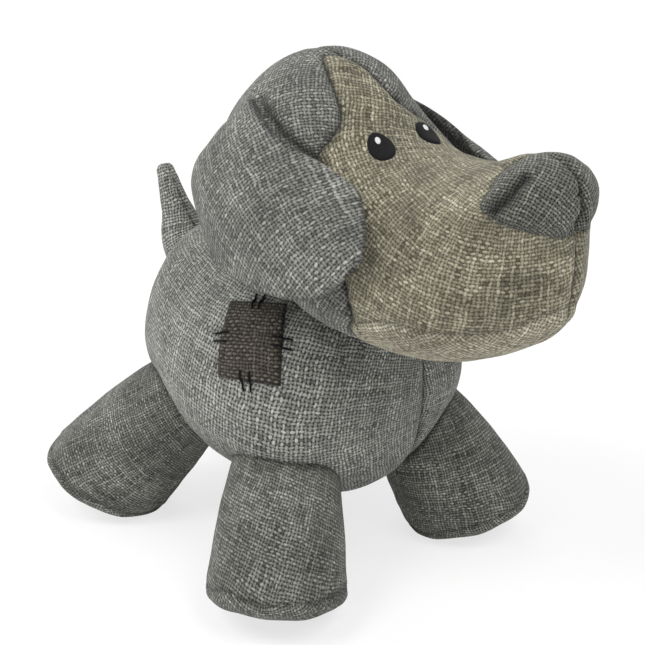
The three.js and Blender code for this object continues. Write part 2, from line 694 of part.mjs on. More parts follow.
// A closed slab along a middle surface, between two heights over it
function slab(middle, low, high, rows, columns) {
  const vertices = [];
  const index = [];
  const place = (i, j) => middle(i / rows, (2 * j) / columns - 1);
  const at = (i, j, upper) => 2 * (i * (columns + 1) + j) + (upper ? 1 : 0);
  for (let i = 0; i <= rows; i++) {
    for (let j = 0; j <= columns; j++) {
      const down = place(Math.min(i + 1, rows), j).sub(place(Math.max(i - 1, 0), j));
      const along = place(i, Math.min(j + 1, columns)).sub(place(i, Math.max(j - 1, 0)));
      const normal = down.cross(along).normalize();
      for (const height of [low, high]) {
        const share = height(i / rows, (2 * j) / columns - 1);
        vertices.push(...place(i, j).addScaledVector(normal, share).toArray());
      }
    }
  }
  const quad = (a, b, c, d) => index.push(a, b, c, a, c, d);
  for (let i = 0; i < rows; i++) {
    for (let j = 0; j < columns; j++) {
      quad(at(i, j, 1), at(i + 1, j, 1), at(i + 1, j + 1, 1), at(i, j + 1, 1));
      quad(at(i, j, 0), at(i, j + 1, 0), at(i + 1, j + 1, 0), at(i + 1, j, 0));
    }
    quad(at(i, 0, 0), at(i + 1, 0, 0), at(i + 1, 0, 1), at(i, 0, 1));
    quad(at(i, columns, 1), at(i + 1, columns, 1), at(i + 1, columns, 0), at(i, columns, 0));
  }
  for (let j = 0; j < columns; j++) {
    quad(at(0, j, 1), at(0, j + 1, 1), at(0, j + 1, 0), at(0, j, 0));
    quad(at(rows, j, 0), at(rows, j + 1, 0), at(rows, j + 1, 1), at(rows, j, 1));
  }
  const geometry = new THREE.BufferGeometry();
  geometry.setAttribute("position", new THREE.Float32BufferAttribute(vertices, 3));
  geometry.setIndex(index);
  return geometry;
}

// Both sides of the head as an ear meets them while it lifts about the line through its root's two ends
function headUnderEar(root, axis) {
  const side = inset(headForm, -GAP);
  const swept = [];
  for (let k = 0; k <= EAR_LIFT_STEPS; k++) {
    const turn = new THREE.Quaternion().setFromAxisAngle(axis, (-EAR_LIFT * k) / EAR_LIFT_STEPS);
    for (const form of [side.clone(), mirrored(side)]) {
      form.translate(-root.x, -root.y, -root.z);
      form.applyQuaternion(turn);
      form.translate(root.x, root.y, root.z);
      swept.push(solidOf(form));
    }
  }
  return union(...swept);
}

function buildEars(headGroup) {
  const middle = earMiddle();
  const back = middle(0, -1);
  const front = middle(0, 1);
  const root = back.clone().add(front).multiplyScalar(0.5);
  const headSide = headUnderEar(root, back.clone().sub(front).normalize());
  const puff = (row, across) => EAR_EDGE + EAR_BATTING * (1 - across ** 2) * Math.sin(Math.PI * row) ** 0.7;
  const layers = [
    ["outer", (r, a) => puff(r, a) + GAP, (r, a) => puff(r, a) + GAP + FABRIC, GREY_LINEN],
    ["inner", (r, a) => -puff(r, a) - GAP - FABRIC, (r, a) => -puff(r, a) - GAP, GREY_LINEN],
    ["batting", (r, a) => -puff(r, a), puff, STUFFING],
  ];
  for (const side of [-1, 1]) {
    const group = jointGroup(headGroup, side < 0 ? root : root.clone().setY(-root.y));
    for (const [name, low, high, material] of layers) {
      const right = geometryOf(cut(solidOf(slab(middle, low, high, EAR_ROWS, EAR_COLUMNS)), headSide));
      addPiece(group, `ear_${side < 0 ? "right" : "left"}_${name}`, side < 0 ? right : mirrored(right), material);
    }
  }
}

function buildHead() {
  const group = jointGroup(toy, neck);
  buildHeadCover(group);
  buildNose(group);
  buildEyes(group);
  buildEars(group);
}

buildBody();
buildSqueaker();
buildPatch();
for (const leg of LEGS) {
  for (const side of [-1, 1]) buildLeg(leg, side);
}
buildTail();
buildHead();

// The toy stands centred on its origin
const extent = new THREE.Box3().setFromObject(toy, true);
toy.position.x = -(extent.min.x + extent.max.x) / 2;

export default toy;
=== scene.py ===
# A stuffed plush puppy, a dog's squeaky toy: sewn linen-look covers, thread, squeaker and a plain stage.
# Shapes are worked out in millimetres in the toy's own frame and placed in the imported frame, in metres.
import json
import math

import bpy
import numpy as np
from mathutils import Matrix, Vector, noise


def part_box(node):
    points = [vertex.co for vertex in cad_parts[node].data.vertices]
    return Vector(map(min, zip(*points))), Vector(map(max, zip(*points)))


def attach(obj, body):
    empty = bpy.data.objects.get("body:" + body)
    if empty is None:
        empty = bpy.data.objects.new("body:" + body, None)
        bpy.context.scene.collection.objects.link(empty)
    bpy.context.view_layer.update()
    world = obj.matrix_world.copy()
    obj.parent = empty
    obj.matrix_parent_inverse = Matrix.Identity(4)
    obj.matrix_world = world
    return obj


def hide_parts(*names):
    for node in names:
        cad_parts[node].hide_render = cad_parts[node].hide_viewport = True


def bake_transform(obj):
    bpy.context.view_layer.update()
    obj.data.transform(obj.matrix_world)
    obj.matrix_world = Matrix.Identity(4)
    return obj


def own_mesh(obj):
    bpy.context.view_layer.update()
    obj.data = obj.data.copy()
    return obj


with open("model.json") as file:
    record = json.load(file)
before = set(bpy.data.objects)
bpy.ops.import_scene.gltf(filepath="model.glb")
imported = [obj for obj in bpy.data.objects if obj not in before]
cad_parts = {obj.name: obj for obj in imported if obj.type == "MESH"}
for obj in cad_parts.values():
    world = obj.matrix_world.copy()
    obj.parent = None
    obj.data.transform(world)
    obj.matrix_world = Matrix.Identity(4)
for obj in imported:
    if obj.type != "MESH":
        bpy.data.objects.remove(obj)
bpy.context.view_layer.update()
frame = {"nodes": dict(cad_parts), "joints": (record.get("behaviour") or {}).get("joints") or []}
MM = 0.001
DEGREE = math.pi / 180
SIDES = ((-1, "right"), (1, "left"))
JOINTS = {joint["name"]: joint for joint in frame["joints"]}
# The squeaker's reed stands on the toy's own X = 0
SHIFT = np.array([JOINTS["reed_flutter"]["pos_m"][0] / MM, 0, 0])

# Stuffed forms, as in the part but a little settled: X, top, bottom and half width along each, and the
# share of its height at which it is widest
BODY = ([
    (-56.5, 66, 66, 0), (-54, 95.5, 45.5, 23), (-46, 109, 35.5, 35), (-24, 112.5, 29, 44),
    (4, 110, 26, 50), (29, 104, 26.5, 48), (43, 90, 39.5, 34), (48, 67, 67, 0),
], 0.46)
HEAD = ([
    (-28, 135, 135, 0), (-25, 149, 120, 14), (-15, 164, 107, 27), (4, 177, 99, 38),
    (25, 176, 95, 42), (47, 157, 91, 41), (69, 152.5, 89.5, 39), (90, 155.5, 95, 34),
    (103.5, 154, 102, 23), (110.5, 150, 108, 13), (115, 143, 114, 5), (116, 130, 130, 0),
], 0.42)
# The left temple is pressed in: where, how far it reaches and how deep
TEMPLE = np.array([34, 27, 162])
TEMPLE_REACH = 17
TEMPLE_DEPTH = 4.0
# How deep the head's cover goes into the body
HEAD_SINK = 3
FABRIC = 1.0
# Lumps of packed stuffing under the cloth: height, size and shift of their noise
STUFFING_LUMPS = ((0.9, 26, 0), (0.3, 9, 40))
# Seeds of the noise in each form and seam
SEEDS = {
    "body": 1.0, "body_seam": 5.0, "head": 9.0, "face_seam": 15.0, "chin_seam": 22.0, "middle_seam": 27.0,
    "nose_seam": 31.0, "dart": 33.0, "ear": 51.0, "ear_edge": 55.0, "neck": 61.0, "tail": 71.0,
    "tail_seam": 73.0,
}
LEG_SEED = 80.0
LEG_SEED_STEP = 11

# Fineness of the meshes and of the curves that they follow
BODY_STEPS = 60
HEAD_STEPS = 72
SECTION_ROWS = 800
LINE_POINTS = 60
FACE_SEAM_POINTS = 600
CHIN_SEAM_POINTS = 200
SLOPE_STEP = 0.5
LEAST_REACH = 1e-3
TINY = 1e-9
# A vertex this share of an edge's length from a cut is moved onto it
SNAP = 0.25
UNWRAP_ROUNDS = 12
GRAIN_POINTS = 80
# Columns of a form's rows: its points, their normals, then fields that are 0 on a seam
POINT, NORMAL, FIELDS = slice(0, 3), slice(3, 6), 6
# Added to the distance from a seam where there is none
FAR = 60

# Seams: the body's middle seam runs to the puppy's left on the chest
CHEST_SEAM_SHIFT = 14
CHEST_SEAM = (12, 40)
MUZZLE_SEAM_SHIFT = 1.5
MUZZLE_SEAM = (92, 112)
MUZZLE_SEAM_TOP = (98, 106)
# Face seam: turn from the crown as a share of a half turn, and X. The crown's end leans to the right
FACE_SEAM = [
    (0.0, 16), (0.03, 19.5), (0.06, 26), (0.085, 33), (0.11, 37), (0.17, 38.5), (0.25, 39),
    (0.35, 48), (0.45, 60), (0.52, 62.5), (0.59, 63), (0.67, 58.5), (0.8, 56), (1.0, 56),
]
FACE_LEAN = 0.041
FACE_LEAN_END = 0.3
FACE_SEAM_RADIUS = 40
# Chin seam, seen from the side: X and height
CHIN_SEAM = [(40, 100), (50, 101), (62, 106), (77, 111), (100, 110.5), (112, 115.5), (125, 124)]
SEAM_DEPTH = 1.3
SOFT_SEAM_DEPTH = 0.45
SEAM_WIDTH = 1.6
SEAM_PUCKER = 0.35
SEAM_PUCKER_SIZE = 3.6
SEAM_PUCKER_REACH = 4.0
# Width, in millimetres, of the painted shade that darkens the cloth in seams, creases and joins
PAINTED_SHADE_WIDTH = 0.75
# Painted shade in each kind of seam, crease and join: how dark it is, from 0 to 1, and how many times that
# width it is wide
PAINTED_SEAM_SHADES = {
    "body": (0.75, 1), "leg_on_body": (0.9, 1.5), "neck_on_body": (0.8, 2.5), "neck_on_head": (0.85, 2.5),
    "hard": (0.8, 1), "soft": (0.4, 1), "dart": (1, 2.4), "ear_on_head": (0.95, 2.2), "ear_root": (0.9, 2.4),
    "ear_edge": (0.5, 1.2), "leg_root": (0.85, 2), "leg_back": (1, 1), "foot": (1, 1.2),
    "tail": (0.6, 1 / 1.4), "tail_root": (0.6, 2),
}

# Nose: a padded panel over the muzzle's end, cut by a slanting plane below and a level one behind
NOSE_CENTRE = np.array([103, 0, 148])
NOSE_AXES = np.array([12, 18.9, 11.3])
NOSE_DEPTH_BELOW = 10.5
NOSE_BLEND = 12.0
NOSE_REACH = 14
NOSE_FADE = 0.7
NOSE_ROUNDS = 30
NOSE_EASE = 0.7
NOSE_ROUND = 15
NOSE_RISE = 0.5
NOSE_RISE_REACH = 5
NOSE_EDGE_FRONT = (114, 140.3)
NOSE_EDGE_SLOPE = 0.5
NOSE_EDGE_BACK = 98.0
NOSE_DART_DEPTH = 2.2
NOSE_DART_NARROW = 1.35
NOSE_DART = [(102.5, 21.0, 147.0), (105.8, 19.9, 151.6), (106.8, 17.1, 155.0), (107.1, 13.3, 157.5)]
NOSE_SEAM = (104.5, 111.0)
NOSE_SEAM_DEPTH = 1.5
NOSE_SEAM_REACH = 1.2

# Folds in the body's cloth round the neck: its middle, their depth, reach, count and length
NECK = np.array([22, 0, 108])
NECK_FOLD = 1.1
NECK_FOLD_REACH = 9.0
NECK_FOLD_COUNT = 5.5
NECK_FOLD_LENGTH = 30

# Eyes: embroidered ovals, set a little to the right as the face panel is
EYE_X = 49.0
EYE_Y = {"right": -11.6, "left": 9.3}
EYE_LENGTH = 11.4
EYE_WIDTH = {"right": 9.2, "left": 8.0}
EYE_TURN = -30 * DEGREE
EYE_SINK = 0.3
EYE_THICKNESS = 0.8
GLINT_LENGTH = 2.9
GLINT_WIDTH = 2.0
GLINT_BACK = 2.2
GLINT_OUT = 0.4
GLINT_RISE = 0.3
OVAL_RINGS = 10
OVAL_COLUMNS = 48
OVAL_WALL = 0.6

# Ears: three ribs from the root seam to the hem: X, height, stand-off from the head's side
EAR_RIBS = (
    [(10, 166, 0.4), (-1, 153, 1.5), (-5, 139, 6.5), (9, 118, 9)],
    [(26, 159, 0.9), (25, 151, 4), (30, 137, 9), (42, 115, 10)],
    [(41, 151, 0.9), (58, 145, 2.5), (73, 132.5, 5.5), (68, 120, 8)],
)
EAR_ROWS = 64
EAR_COLUMNS = 72
EAR_BATTING = 1.1
EAR_BATTING_POWER = 0.7
EAR_BATTING_REACH = 12
EAR_HALF = 2.0
EAR_SEAT = 0.3
EAR_EDGE = 1.5
EAR_CORNER_START = 0.6
EAR_CORNER = 0.14
EAR_CORNER_POWER = 2.5
EAR_DROP = {"right": 0, "left": 8}
# Waves of the flap and of its edge: height and size, how far in the edge's reach, how near the root they end
EAR_WAVE = (0.45, 15)
EAR_EDGE_WAVE = (0.4, 5)
EAR_EDGE_WAVE_REACH = 5
EAR_WAVE_END = 6
# The way from the root seam down the ear, and two reaches along it from the seam
EAR_HANG = np.array([-0.44, 0, -0.9])
EAR_BEND = (1, 14)
EAR_CREASE = 1.4
EAR_CREASE_REACH = 1.7

# Legs
LEG_NAMES = ("front_right", "front_left", "rear_right", "rear_left")
LEG_RADIUS = 17.3
FOOT_RADIUS = 23.5
FOOT_EDGE = 3.2
SOLE_DOME = 4.6
SOLE_LEVEL = 0.3
SOLE_ROUNDNESS = 0.75
FOOT_FLAT = 0.5
LEG_SWELL = 0.5
LEG_BIAS = -16 * DEGREE
LEG_COLUMNS = 96
SLEEVE_ROWS = 44
SLEEVE_DOME_ROWS = 16
SOLE_ROWS = 40
SOLE_START = 0.02
# The turns at which a leg is tried on the floor, and how often
FLOOR_TURNS = np.linspace(0, 6.2, 24)
FLOOR_TRIES = 8
# How far the sole's seam strays up and down, how far from it the cloth follows, and its waves: share, count
# round the leg and seed multiple
RIM_WAVE = 0.8
RIM_REACH = 7.0
RIM_WAVES = ((1, 2, 1), (0.8, 3, 2), (0.5, 7, 3))
# The painted shade in the sole seam comes and goes: its middle tone, how much that varies and over what
# length
RIM_PAINTED_SHADE = (0.5, 0.35, 7)
# Below this height the sole grows smooth
SOLE_SMOOTH = 8
# How far each foot stands from straight under its leg, X and Y
FOOT_SHIFT = {
    "front_right": (3, -1), "front_left": (2, -4), "rear_right": (-0.5, 3.5), "rear_left": (-0.5, -2),
}
# How far each leg's top is pulled in under the body
LEG_TUCK = {"front_right": 5.0, "front_left": 2.5, "rear_right": 1.0, "rear_left": 1.0}
LEG_DENT = 2.2
LEG_DENT_REACH = 6.0

# Tail, sewn on a little to the right
TAIL_PATH = np.array([(-46, -3.5, 86), (-59.5, -3.5, 96), (-66.5, -3.5, 109), (-72, -3.5, 121.5)])
TAIL_RADII = [(10.5,), (9.5,), (5.7,), (3.4,)]
TAIL_TIP_RADIUS = TAIL_RADII[-1][0]
TAIL_ROWS = 44
TAIL_TIP_ROWS = 12
TAIL_COLUMNS = 48
TAIL_WALL = 0.8
TAIL_LUMPS = (0.4, 9)

# Patch corners on the right flank, X and height, from the top rear one round
PATCH_CORNERS = [(3.1, 97.4), (22.1, 99.6), (34.3, 78.6), (12.0, 77.1)]
PATCH_COLUMNS = 44
PATCH_ROWS = 56
PATCH_SEAT = 0.15
PATCH_SINK = 0.4
PATCH_THICKNESS = 1.0
PATCH_EDGE = 0.7
PATCH_EDGE_PAINTED_SHADE = 0.8
PATCH_WALL = 0.6
FLANK_ROUNDS = 6
# Hand stitches: pairs over the middle of each edge, given by the way to it from the patch's middle
STITCH_EDGES = ((0, 1), (-1, 0), (1, 0), (0, -1))
STITCH_POINTS = 15
STITCH_LENGTH = 7.4
STITCH_RADIUS = 0.34
STITCH_SPACING = 2.9
STITCH_SPLAY = 0.4
STITCH_HUMP = 0.3
STITCH_SINK = 0.6
STITCH_STEP = 0.6
# Thread: sides, how blunt and how thin its ends are, twist per millimetre, length of a step, and a way that
# is not along any stitch
THREAD_SIDES = 10
THREAD_BLUNT = 8
THREAD_END = 0.02
THREAD_TWIST = 0.6
THREAD_STEP = 0.45
THREAD_ASIDE = [0, -40, 10]

# Squeaker bellows: rings, columns, how far its middle swells, and its wall
BELLOWS_RINGS = 25
BELLOWS_COLUMNS = 64
BELLOWS_BULGE = 2.0
BELLOWS_WALL = 1.2

# Grain of each panel: a place on it and the way a yarn runs there
BODY_GRAIN = ((-4, -43, 88), (0.99, -0.14, -0.1))
HEAD_GRAIN = ((25, -24, 167), (0.58, -0.5, -0.65))
FACE_GRAIN = ((88, -35, 121), (-0.24, -0.1, -0.97))
CHIN_GRAIN = ((80, 0, 92), (1, 0, 0))
NOSE_GRAIN = ((109, 0, 152), (0.24, 0.66, 0.71))
EAR_GRAIN = np.array([0.83, -0.22, -0.52])

# Cloths: dark, middle and light yarn, yarn pitch, painted shade in the gaps, mottle, warp and weft contrast,
# seed
CLOTHS = {
    "body_linen": dict(dark=(0.081, 0.083, 0.075), middle=(0.23, 0.234, 0.213), light=(0.408, 0.413, 0.383),
                       gap=0.14, mottle=0.1),
    "head_linen": dict(dark=(0.054, 0.055, 0.049), middle=(0.15, 0.152, 0.137), light=(0.298, 0.303, 0.276),
                       gap=0.2, mottle=0.3, seed=3.7),
    "leg_linen": dict(dark=(0.042, 0.043, 0.037), middle=(0.139, 0.141, 0.125), light=(0.28, 0.284, 0.255),
                      pitch=1.0, gap=0.16, mottle=0.4, seed=8.1),
    "nose_linen": dict(dark=(0.053, 0.054, 0.047), middle=(0.127, 0.129, 0.11), light=(0.243, 0.247, 0.215),
                       pitch=1.05, seed=5.2),
    "face_linen": dict(dark=(0.064, 0.056, 0.036), middle=(0.198, 0.182, 0.128), light=(0.378, 0.358, 0.264),
                       pitch=1.2, gap=0.34, mottle=0.28, seed=31.9),
    # The chin's colours are the face's cloth painted paler: painted light
    "chin_painted_light_linen": dict(dark=(0.1, 0.08, 0.049), middle=(0.298, 0.275, 0.202), light=(0.513, 0.487, 0.375),
                       pitch=1.2, gap=0.34, mottle=0.2, seed=15.3),
    "patch_cloth": dict(dark=(0.021, 0.017, 0.013), middle=(0.058, 0.051, 0.04), light=(0.13, 0.113, 0.094),
                        pitch=1.15, contrast=0.09, seed=21.4),
}
# The chin uses the face's cloth painted paler, as painted light on the underside of the jaw
SLOTS = {"chin_painted_light_linen": "face_linen"}
# Yarns: how many pitches they wander, how far and about what level they wave, how streaks run along them
# (slowness and weight), how far apart in the noise neighbours lie, and where warp and weft start in it
YARN_WANDER = 2.2
YARN_WAVE, YARN_LEVEL = 0.46, 0.54
YARN_STREAKS = ((0.05, 0.57), (0.45, 0.43))
YARN_APART = 3.71
WARP_START, WEFT_START = 11.3, 57.9
YARN_SPECK = 0.09
YARN_RELIEF = 0.4
FIBRE_RELIEF = 0.22
# Places of the dark, middle and light yarn on the tone's scale, and the painted shade and light by the
# height of a yarn: painted darker in the gaps, painted lighter on the crowns
TONE_STOPS = (0.31, 0.5, 0.7)
CROWN_RANGE = (0.27, 0.88)
CROWN_SHADE = 1.25
CROWN_LIFT, CROWN_LEVEL = 0.66, 0.34
# How strongly the painted shade in seams, creases and joins darkens the cloth
PAINTED_SHADE_STRENGTH = 0.85
CLOTH_LOOKS = {"Roughness": 0.92, "Specular IOR Level": 0.18, "Sheen Weight": 0.08, "Sheen Roughness": 0.6}
RIDGE_PITCH = 0.35
RIDGE_RELIEF = 0.25
RIDGE_WOBBLE = 0.6
PLASTIC_SHADE = 0.88

# Stage, in metres and watts: each light's place, size and power, and what they look at
WHITE = (1, 1, 1, 1)
AMBIENT = 0.35
FLOOR_COLOUR = (0.92, 0.92, 0.92, 1)
FLOOR_REACH = 4
# From near the toy to far off, the share of plain white in the floor that the camera sees
FLOOR_FADE = (0.25, 0.9, 0.72, 1.0)
LIGHTS = {
    "key": ((-0.15, -1.0, 1.35), 0.7, 14.2),
    "fill": ((1.0, -1.0, 0.15), 1.0, 2.7),
    "front": ((1.0, -0.1, 1.4), 0.8, 14.4),
    "rear": ((-1.2, -0.7, 0.7), 0.9, 7.2),
    "back": ((-0.9, 0.7, 1.1), 0.9, 6.0),
}
LIGHT_TARGET = Vector((0, 0, 0.08))
CAMERA_TURN = 47 * DEGREE
CAMERA_RISE = 21 * DEGREE
CAMERA_DISTANCE = 520
CAMERA_TARGET = np.array([10, 0, 83])
FOCAL_PIXELS = 1500
PICTURE_PIXELS = 645
SENSOR = 36


def smooth(low, high, value):
    """0 below low, 1 above high, and an even curve between them."""
    share = np.clip((value - low) / (high - low), 0, 1)
    return share * share * (3 - 2 * share)


def curve(points, share):
    """Points along a smooth curve through the given points, for shares from 0 to 1."""
    points = np.asarray(points, float)
    last = len(points) - 1
    ends = np.vstack([2 * points[0] - points[1], points, 2 * points[-1] - points[-2]])
    place = np.clip(np.asarray(share, float), 0, 1) * last
    part = np.minimum(place.astype(int), last - 1)
    f = (place - part)[..., None]
    a, b, c, d = ends[part], ends[part + 1], ends[part + 2], ends[part + 3]
    return 0.5 * (2 * b + (c - a) * f + (2 * a - 5 * b + 4 * c - d) * f**2 + (3 * b - a - 3 * c + d) * f**3)


def unit(vectors):
    """Vectors scaled to length 1."""
    return vectors / np.maximum(np.linalg.norm(vectors, axis=-1, keepdims=True), TINY)


def along_path(path):
    """How far along a path each of its points lies."""
    return np.concatenate([[0], np.cumsum(np.linalg.norm(np.diff(path, axis=0), axis=1))])


def nearest(points, line):
    """How far points lie from the nearest point of a line."""
    return np.linalg.norm(points[:, None, :] - line[None], axis=2).min(1)


def slopes(height, a, b):
    """How steeply a height over two coordinates rises along each of them."""
    rise_a = height(a + SLOPE_STEP, b) - height(a - SLOPE_STEP, b)
    rise_b = height(a, b + SLOPE_STEP) - height(a, b - SLOPE_STEP)
    return rise_a / (2 * SLOPE_STEP), rise_b / (2 * SLOPE_STEP)


def section(form, row):
    """X, half width, middle height and the reaches above and below it, at a row of a stuffed form."""
    outline, widest = form
    x, top, bottom, half = np.moveaxis(curve(outline, row), -1, 0)
    middle = bottom + widest * (top - bottom)
    return x, np.maximum(half, 0), middle, top - middle, middle - bottom


def section_at(form, x):
    """The section of a stuffed form at places along it."""
    rows = np.linspace(0, 1, SECTION_ROWS)
    return section(form, np.interp(x, section(form, rows)[0], rows))


def clearance(form, points):
    """How far points lie outside a stuffed form, nearly, in millimetres; negative inside."""
    x, y, z = points.T
    _, half, middle, above, below = section_at(form, x)
    height = z - middle
    reach = np.maximum(np.where(height > 0, above, below), LEAST_REACH)
    half = np.maximum(half, LEAST_REACH)
    oval = np.hypot(y / half, height / reach)
    back, front = form[0][0][0], form[0][-1][0]
    return (oval - 1) * np.minimum(half, reach) + np.maximum(x - front, 0) + np.maximum(back - x, 0)


def quads(index, turned=False):
    """Quads of a grid of vertex numbers, wound the other way round if turned."""
    a, b, c, d = index[:-1, :-1], index[1:, :-1], index[1:, 1:], index[:-1, 1:]
    return np.stack([a, d, c, b] if turned else [a, b, c, d], -1).reshape(-1, 4)


def ring_faces(rings, columns):
    """Quads between the rings of a closed tube."""
    index = np.arange(rings * columns).reshape(rings, columns)
    return quads(np.column_stack([index, index[:, :1]]), turned=True)


def ball_grid(steps):
    """Directions and quads of a ball made from a cube's six faces."""
    tangent = np.tan(np.linspace(-math.pi / 4, math.pi / 4, steps + 1))
    a, b = np.meshgrid(tangent, tangent, indexing="ij")
    one = np.ones_like(a)
    sides = [(one, a, b), (-one, b, a), (b, one, a), (a, -one, b), (a, b, one), (b, a, -one)]
    points = unit(np.concatenate([np.stack(side, -1).reshape(-1, 3) for side in sides]))
    index = np.arange(one.size).reshape(one.shape)
    faces = np.concatenate([quads(index) + side * one.size for side in range(len(sides))])
    _, first, merged = np.unique(np.round(points, 6), axis=0, return_index=True, return_inverse=True)
    return points[first], merged.reshape(-1)[faces]


def normals_of(points, faces):
    """Smooth normals of a quad mesh."""
    corners = points[faces]
    cross = np.cross(corners[:, 2] - corners[:, 0], corners[:, 3] - corners[:, 1])
    total = np.zeros_like(points)
    for corner in range(4):
        np.add.at(total, faces[:, corner], cross)
    return unit(total)


def stuffed_form(form, steps):
    """An even quad mesh of a stuffed form: points, normals, faces and each point's turn from the top."""
    directions, faces = ball_grid(steps)
    row = np.arccos(np.clip(-directions[:, 0], -1, 1)) / math.pi
    turn = np.arctan2(directions[:, 1], directions[:, 2])
    x, half, middle, above, below = section(form, row)
    reach = np.where(np.cos(turn) > 0, above, below)
    points = np.stack([x, half * np.sin(turn), middle + reach * np.cos(turn)], -1)
    return points, normals_of(points, faces), faces, turn


def lumps(points, size, seed):
    """Even noise from -1 to 1 over points, with swellings of about the given size."""
    return np.array([noise.noise(Vector(point / size) + Vector((seed, 0, 0))) for point in points])


def stuffed_relief(points, seed):
    """The uneven surface of packed stuffing under cloth."""
    return sum(height * lumps(points, size, seed + start) for height, size, start in STUFFING_LUMPS)


def seam_relief(points, distance, seed, depth=SEAM_DEPTH):
    """A pulled-in seam with small puckers beside it."""
    groove = depth * np.exp(-((distance / SEAM_WIDTH) ** 2))
    pucker = SEAM_PUCKER * lumps(points, SEAM_PUCKER_SIZE, seed) * np.exp(-distance / SEAM_PUCKER_REACH)
    return pucker - groove


def painted_seam_shade(distance, kind):
    """How much painted shade a kind of seam, crease or join gets at a distance from it."""
    dark, width = PAINTED_SEAM_SHADES[kind]
    return dark * np.exp(-((distance / (width * PAINTED_SHADE_WIDTH)) ** 2))


def split(rows, faces, column):
    """Cuts a mesh where one of its fields passes 0: the rows, the faces above and the faces below."""
    rows = rows.copy()
    field = rows[:, column]
    moved = {}
    for face in faces:
        for a, b in zip(face, (*face[1:], face[0])):
            if field[a] * field[b] < 0:
                share = field[a] / (field[a] - field[b])
                near = a if share < SNAP else b if share > 1 - SNAP else None
                if near is not None and near not in moved:
                    moved[near] = rows[a] + share * (rows[b] - rows[a])
    for vertex, row in moved.items():
        rows[vertex] = row
        rows[vertex, column] = 0
    field = rows[:, column].tolist()
    extra = []
    crossings = {}
    above, below = [], []
    for face in faces:
        high, low = [], []
        for a, b in zip(face, (*face[1:], face[0])):
            if field[a] >= 0:
                high.append(a)
            if field[a] <= 0:
                low.append(a)
            if field[a] * field[b] < 0:
                key = (min(a, b), max(a, b))
                if key not in crossings:
                    share = field[a] / (field[a] - field[b])
                    crossings[key] = len(rows) + len(extra)
                    extra.append(rows[a] + share * (rows[b] - rows[a]))
                high.append(crossings[key])
                low.append(crossings[key])
        if any(field[vertex] > 0 for vertex in face):
            above.append(tuple(high))
        if any(field[vertex] < 0 for vertex in face):
            below.append(tuple(low))
    if extra:
        extra = np.array(extra)
        extra[:, column] = 0
        rows = np.vstack([rows, extra])
    return rows, [face for face in above if len(face) > 2], [face for face in below if len(face) > 2]


def used(rows, faces):
    """The rows that faces use, and the faces numbered to match."""
    kept = sorted({vertex for face in faces for vertex in face})
    number = {vertex: place for place, vertex in enumerate(kept)}
    return rows[kept], [tuple(number[vertex] for vertex in face) for face in faces]


def cut_out(rows, faces, *steps):
    """The part of a mesh that lies above or below 0 in each of the given fields, with only its own rows."""
    for column, keep_above in steps:
        rows, above, below = split(rows, faces, column)
        faces = above if keep_above else below
    return used(rows, faces)


def slit(rows, faces, column, open_at):
    """Cuts a mesh open along a field's 0, but only where open_at says so; elsewhere it stays in one."""
    rows, above, below = split(rows, faces, column)
    shared = {vertex for face in above for vertex in face} & {vertex for face in below for vertex in face}
    opened = [vertex for vertex in sorted(shared) if open_at(rows[vertex])]
    copies = {vertex: len(rows) + place for place, vertex in enumerate(opened)}
    rows = np.vstack([rows, rows[opened]])
    return rows, above + [tuple(copies.get(vertex, vertex) for vertex in face) for face in below]


def new_object(name, data):
    thing = bpy.data.objects.new(name, data)
    bpy.context.scene.collection.objects.link(thing)
    return thing


def mesh_piece(name, points, faces, seam, look, thickness=FABRIC):
    """A smooth mesh object in the toy's frame, with thickness added on its inside."""
    mesh = bpy.data.meshes.new(name)
    mesh.from_pydata(((points + SHIFT) * MM).tolist(), [], faces)
    # The seam attribute carries the painted shade of seams, creases and joins
    seam_painted_shade = np.broadcast_to(seam, len(points)).ravel()
    mesh.attributes.new("seam", "FLOAT", "POINT").data.foreach_set("value", seam_painted_shade)
    mesh.shade_smooth()
    mesh.materials.append(LOOKS[look])
    piece = new_object(name, mesh)
    if thickness:
        solid = piece.modifiers.new("thickness", "SOLIDIFY")
        solid.thickness = thickness * MM
        solid.offset = -1
    SLOTS.get(look, look)
    return piece


def weave_along(piece, across, along):
    """Stores a piece's cloth coordinates, in metres."""
    stored = piece.data.attributes.new("weave", "FLOAT_VECTOR", "POINT")
    stored.data.foreach_set("vector", (np.column_stack([across, along, np.zeros(len(along))]) * MM).ravel())


def read(items, field, width, kind=float):
    """A field of a mesh's items as rows of numbers."""
    values = np.zeros(width * len(items), kind)
    items.foreach_get(field, values)
    return values.reshape(-1, width)


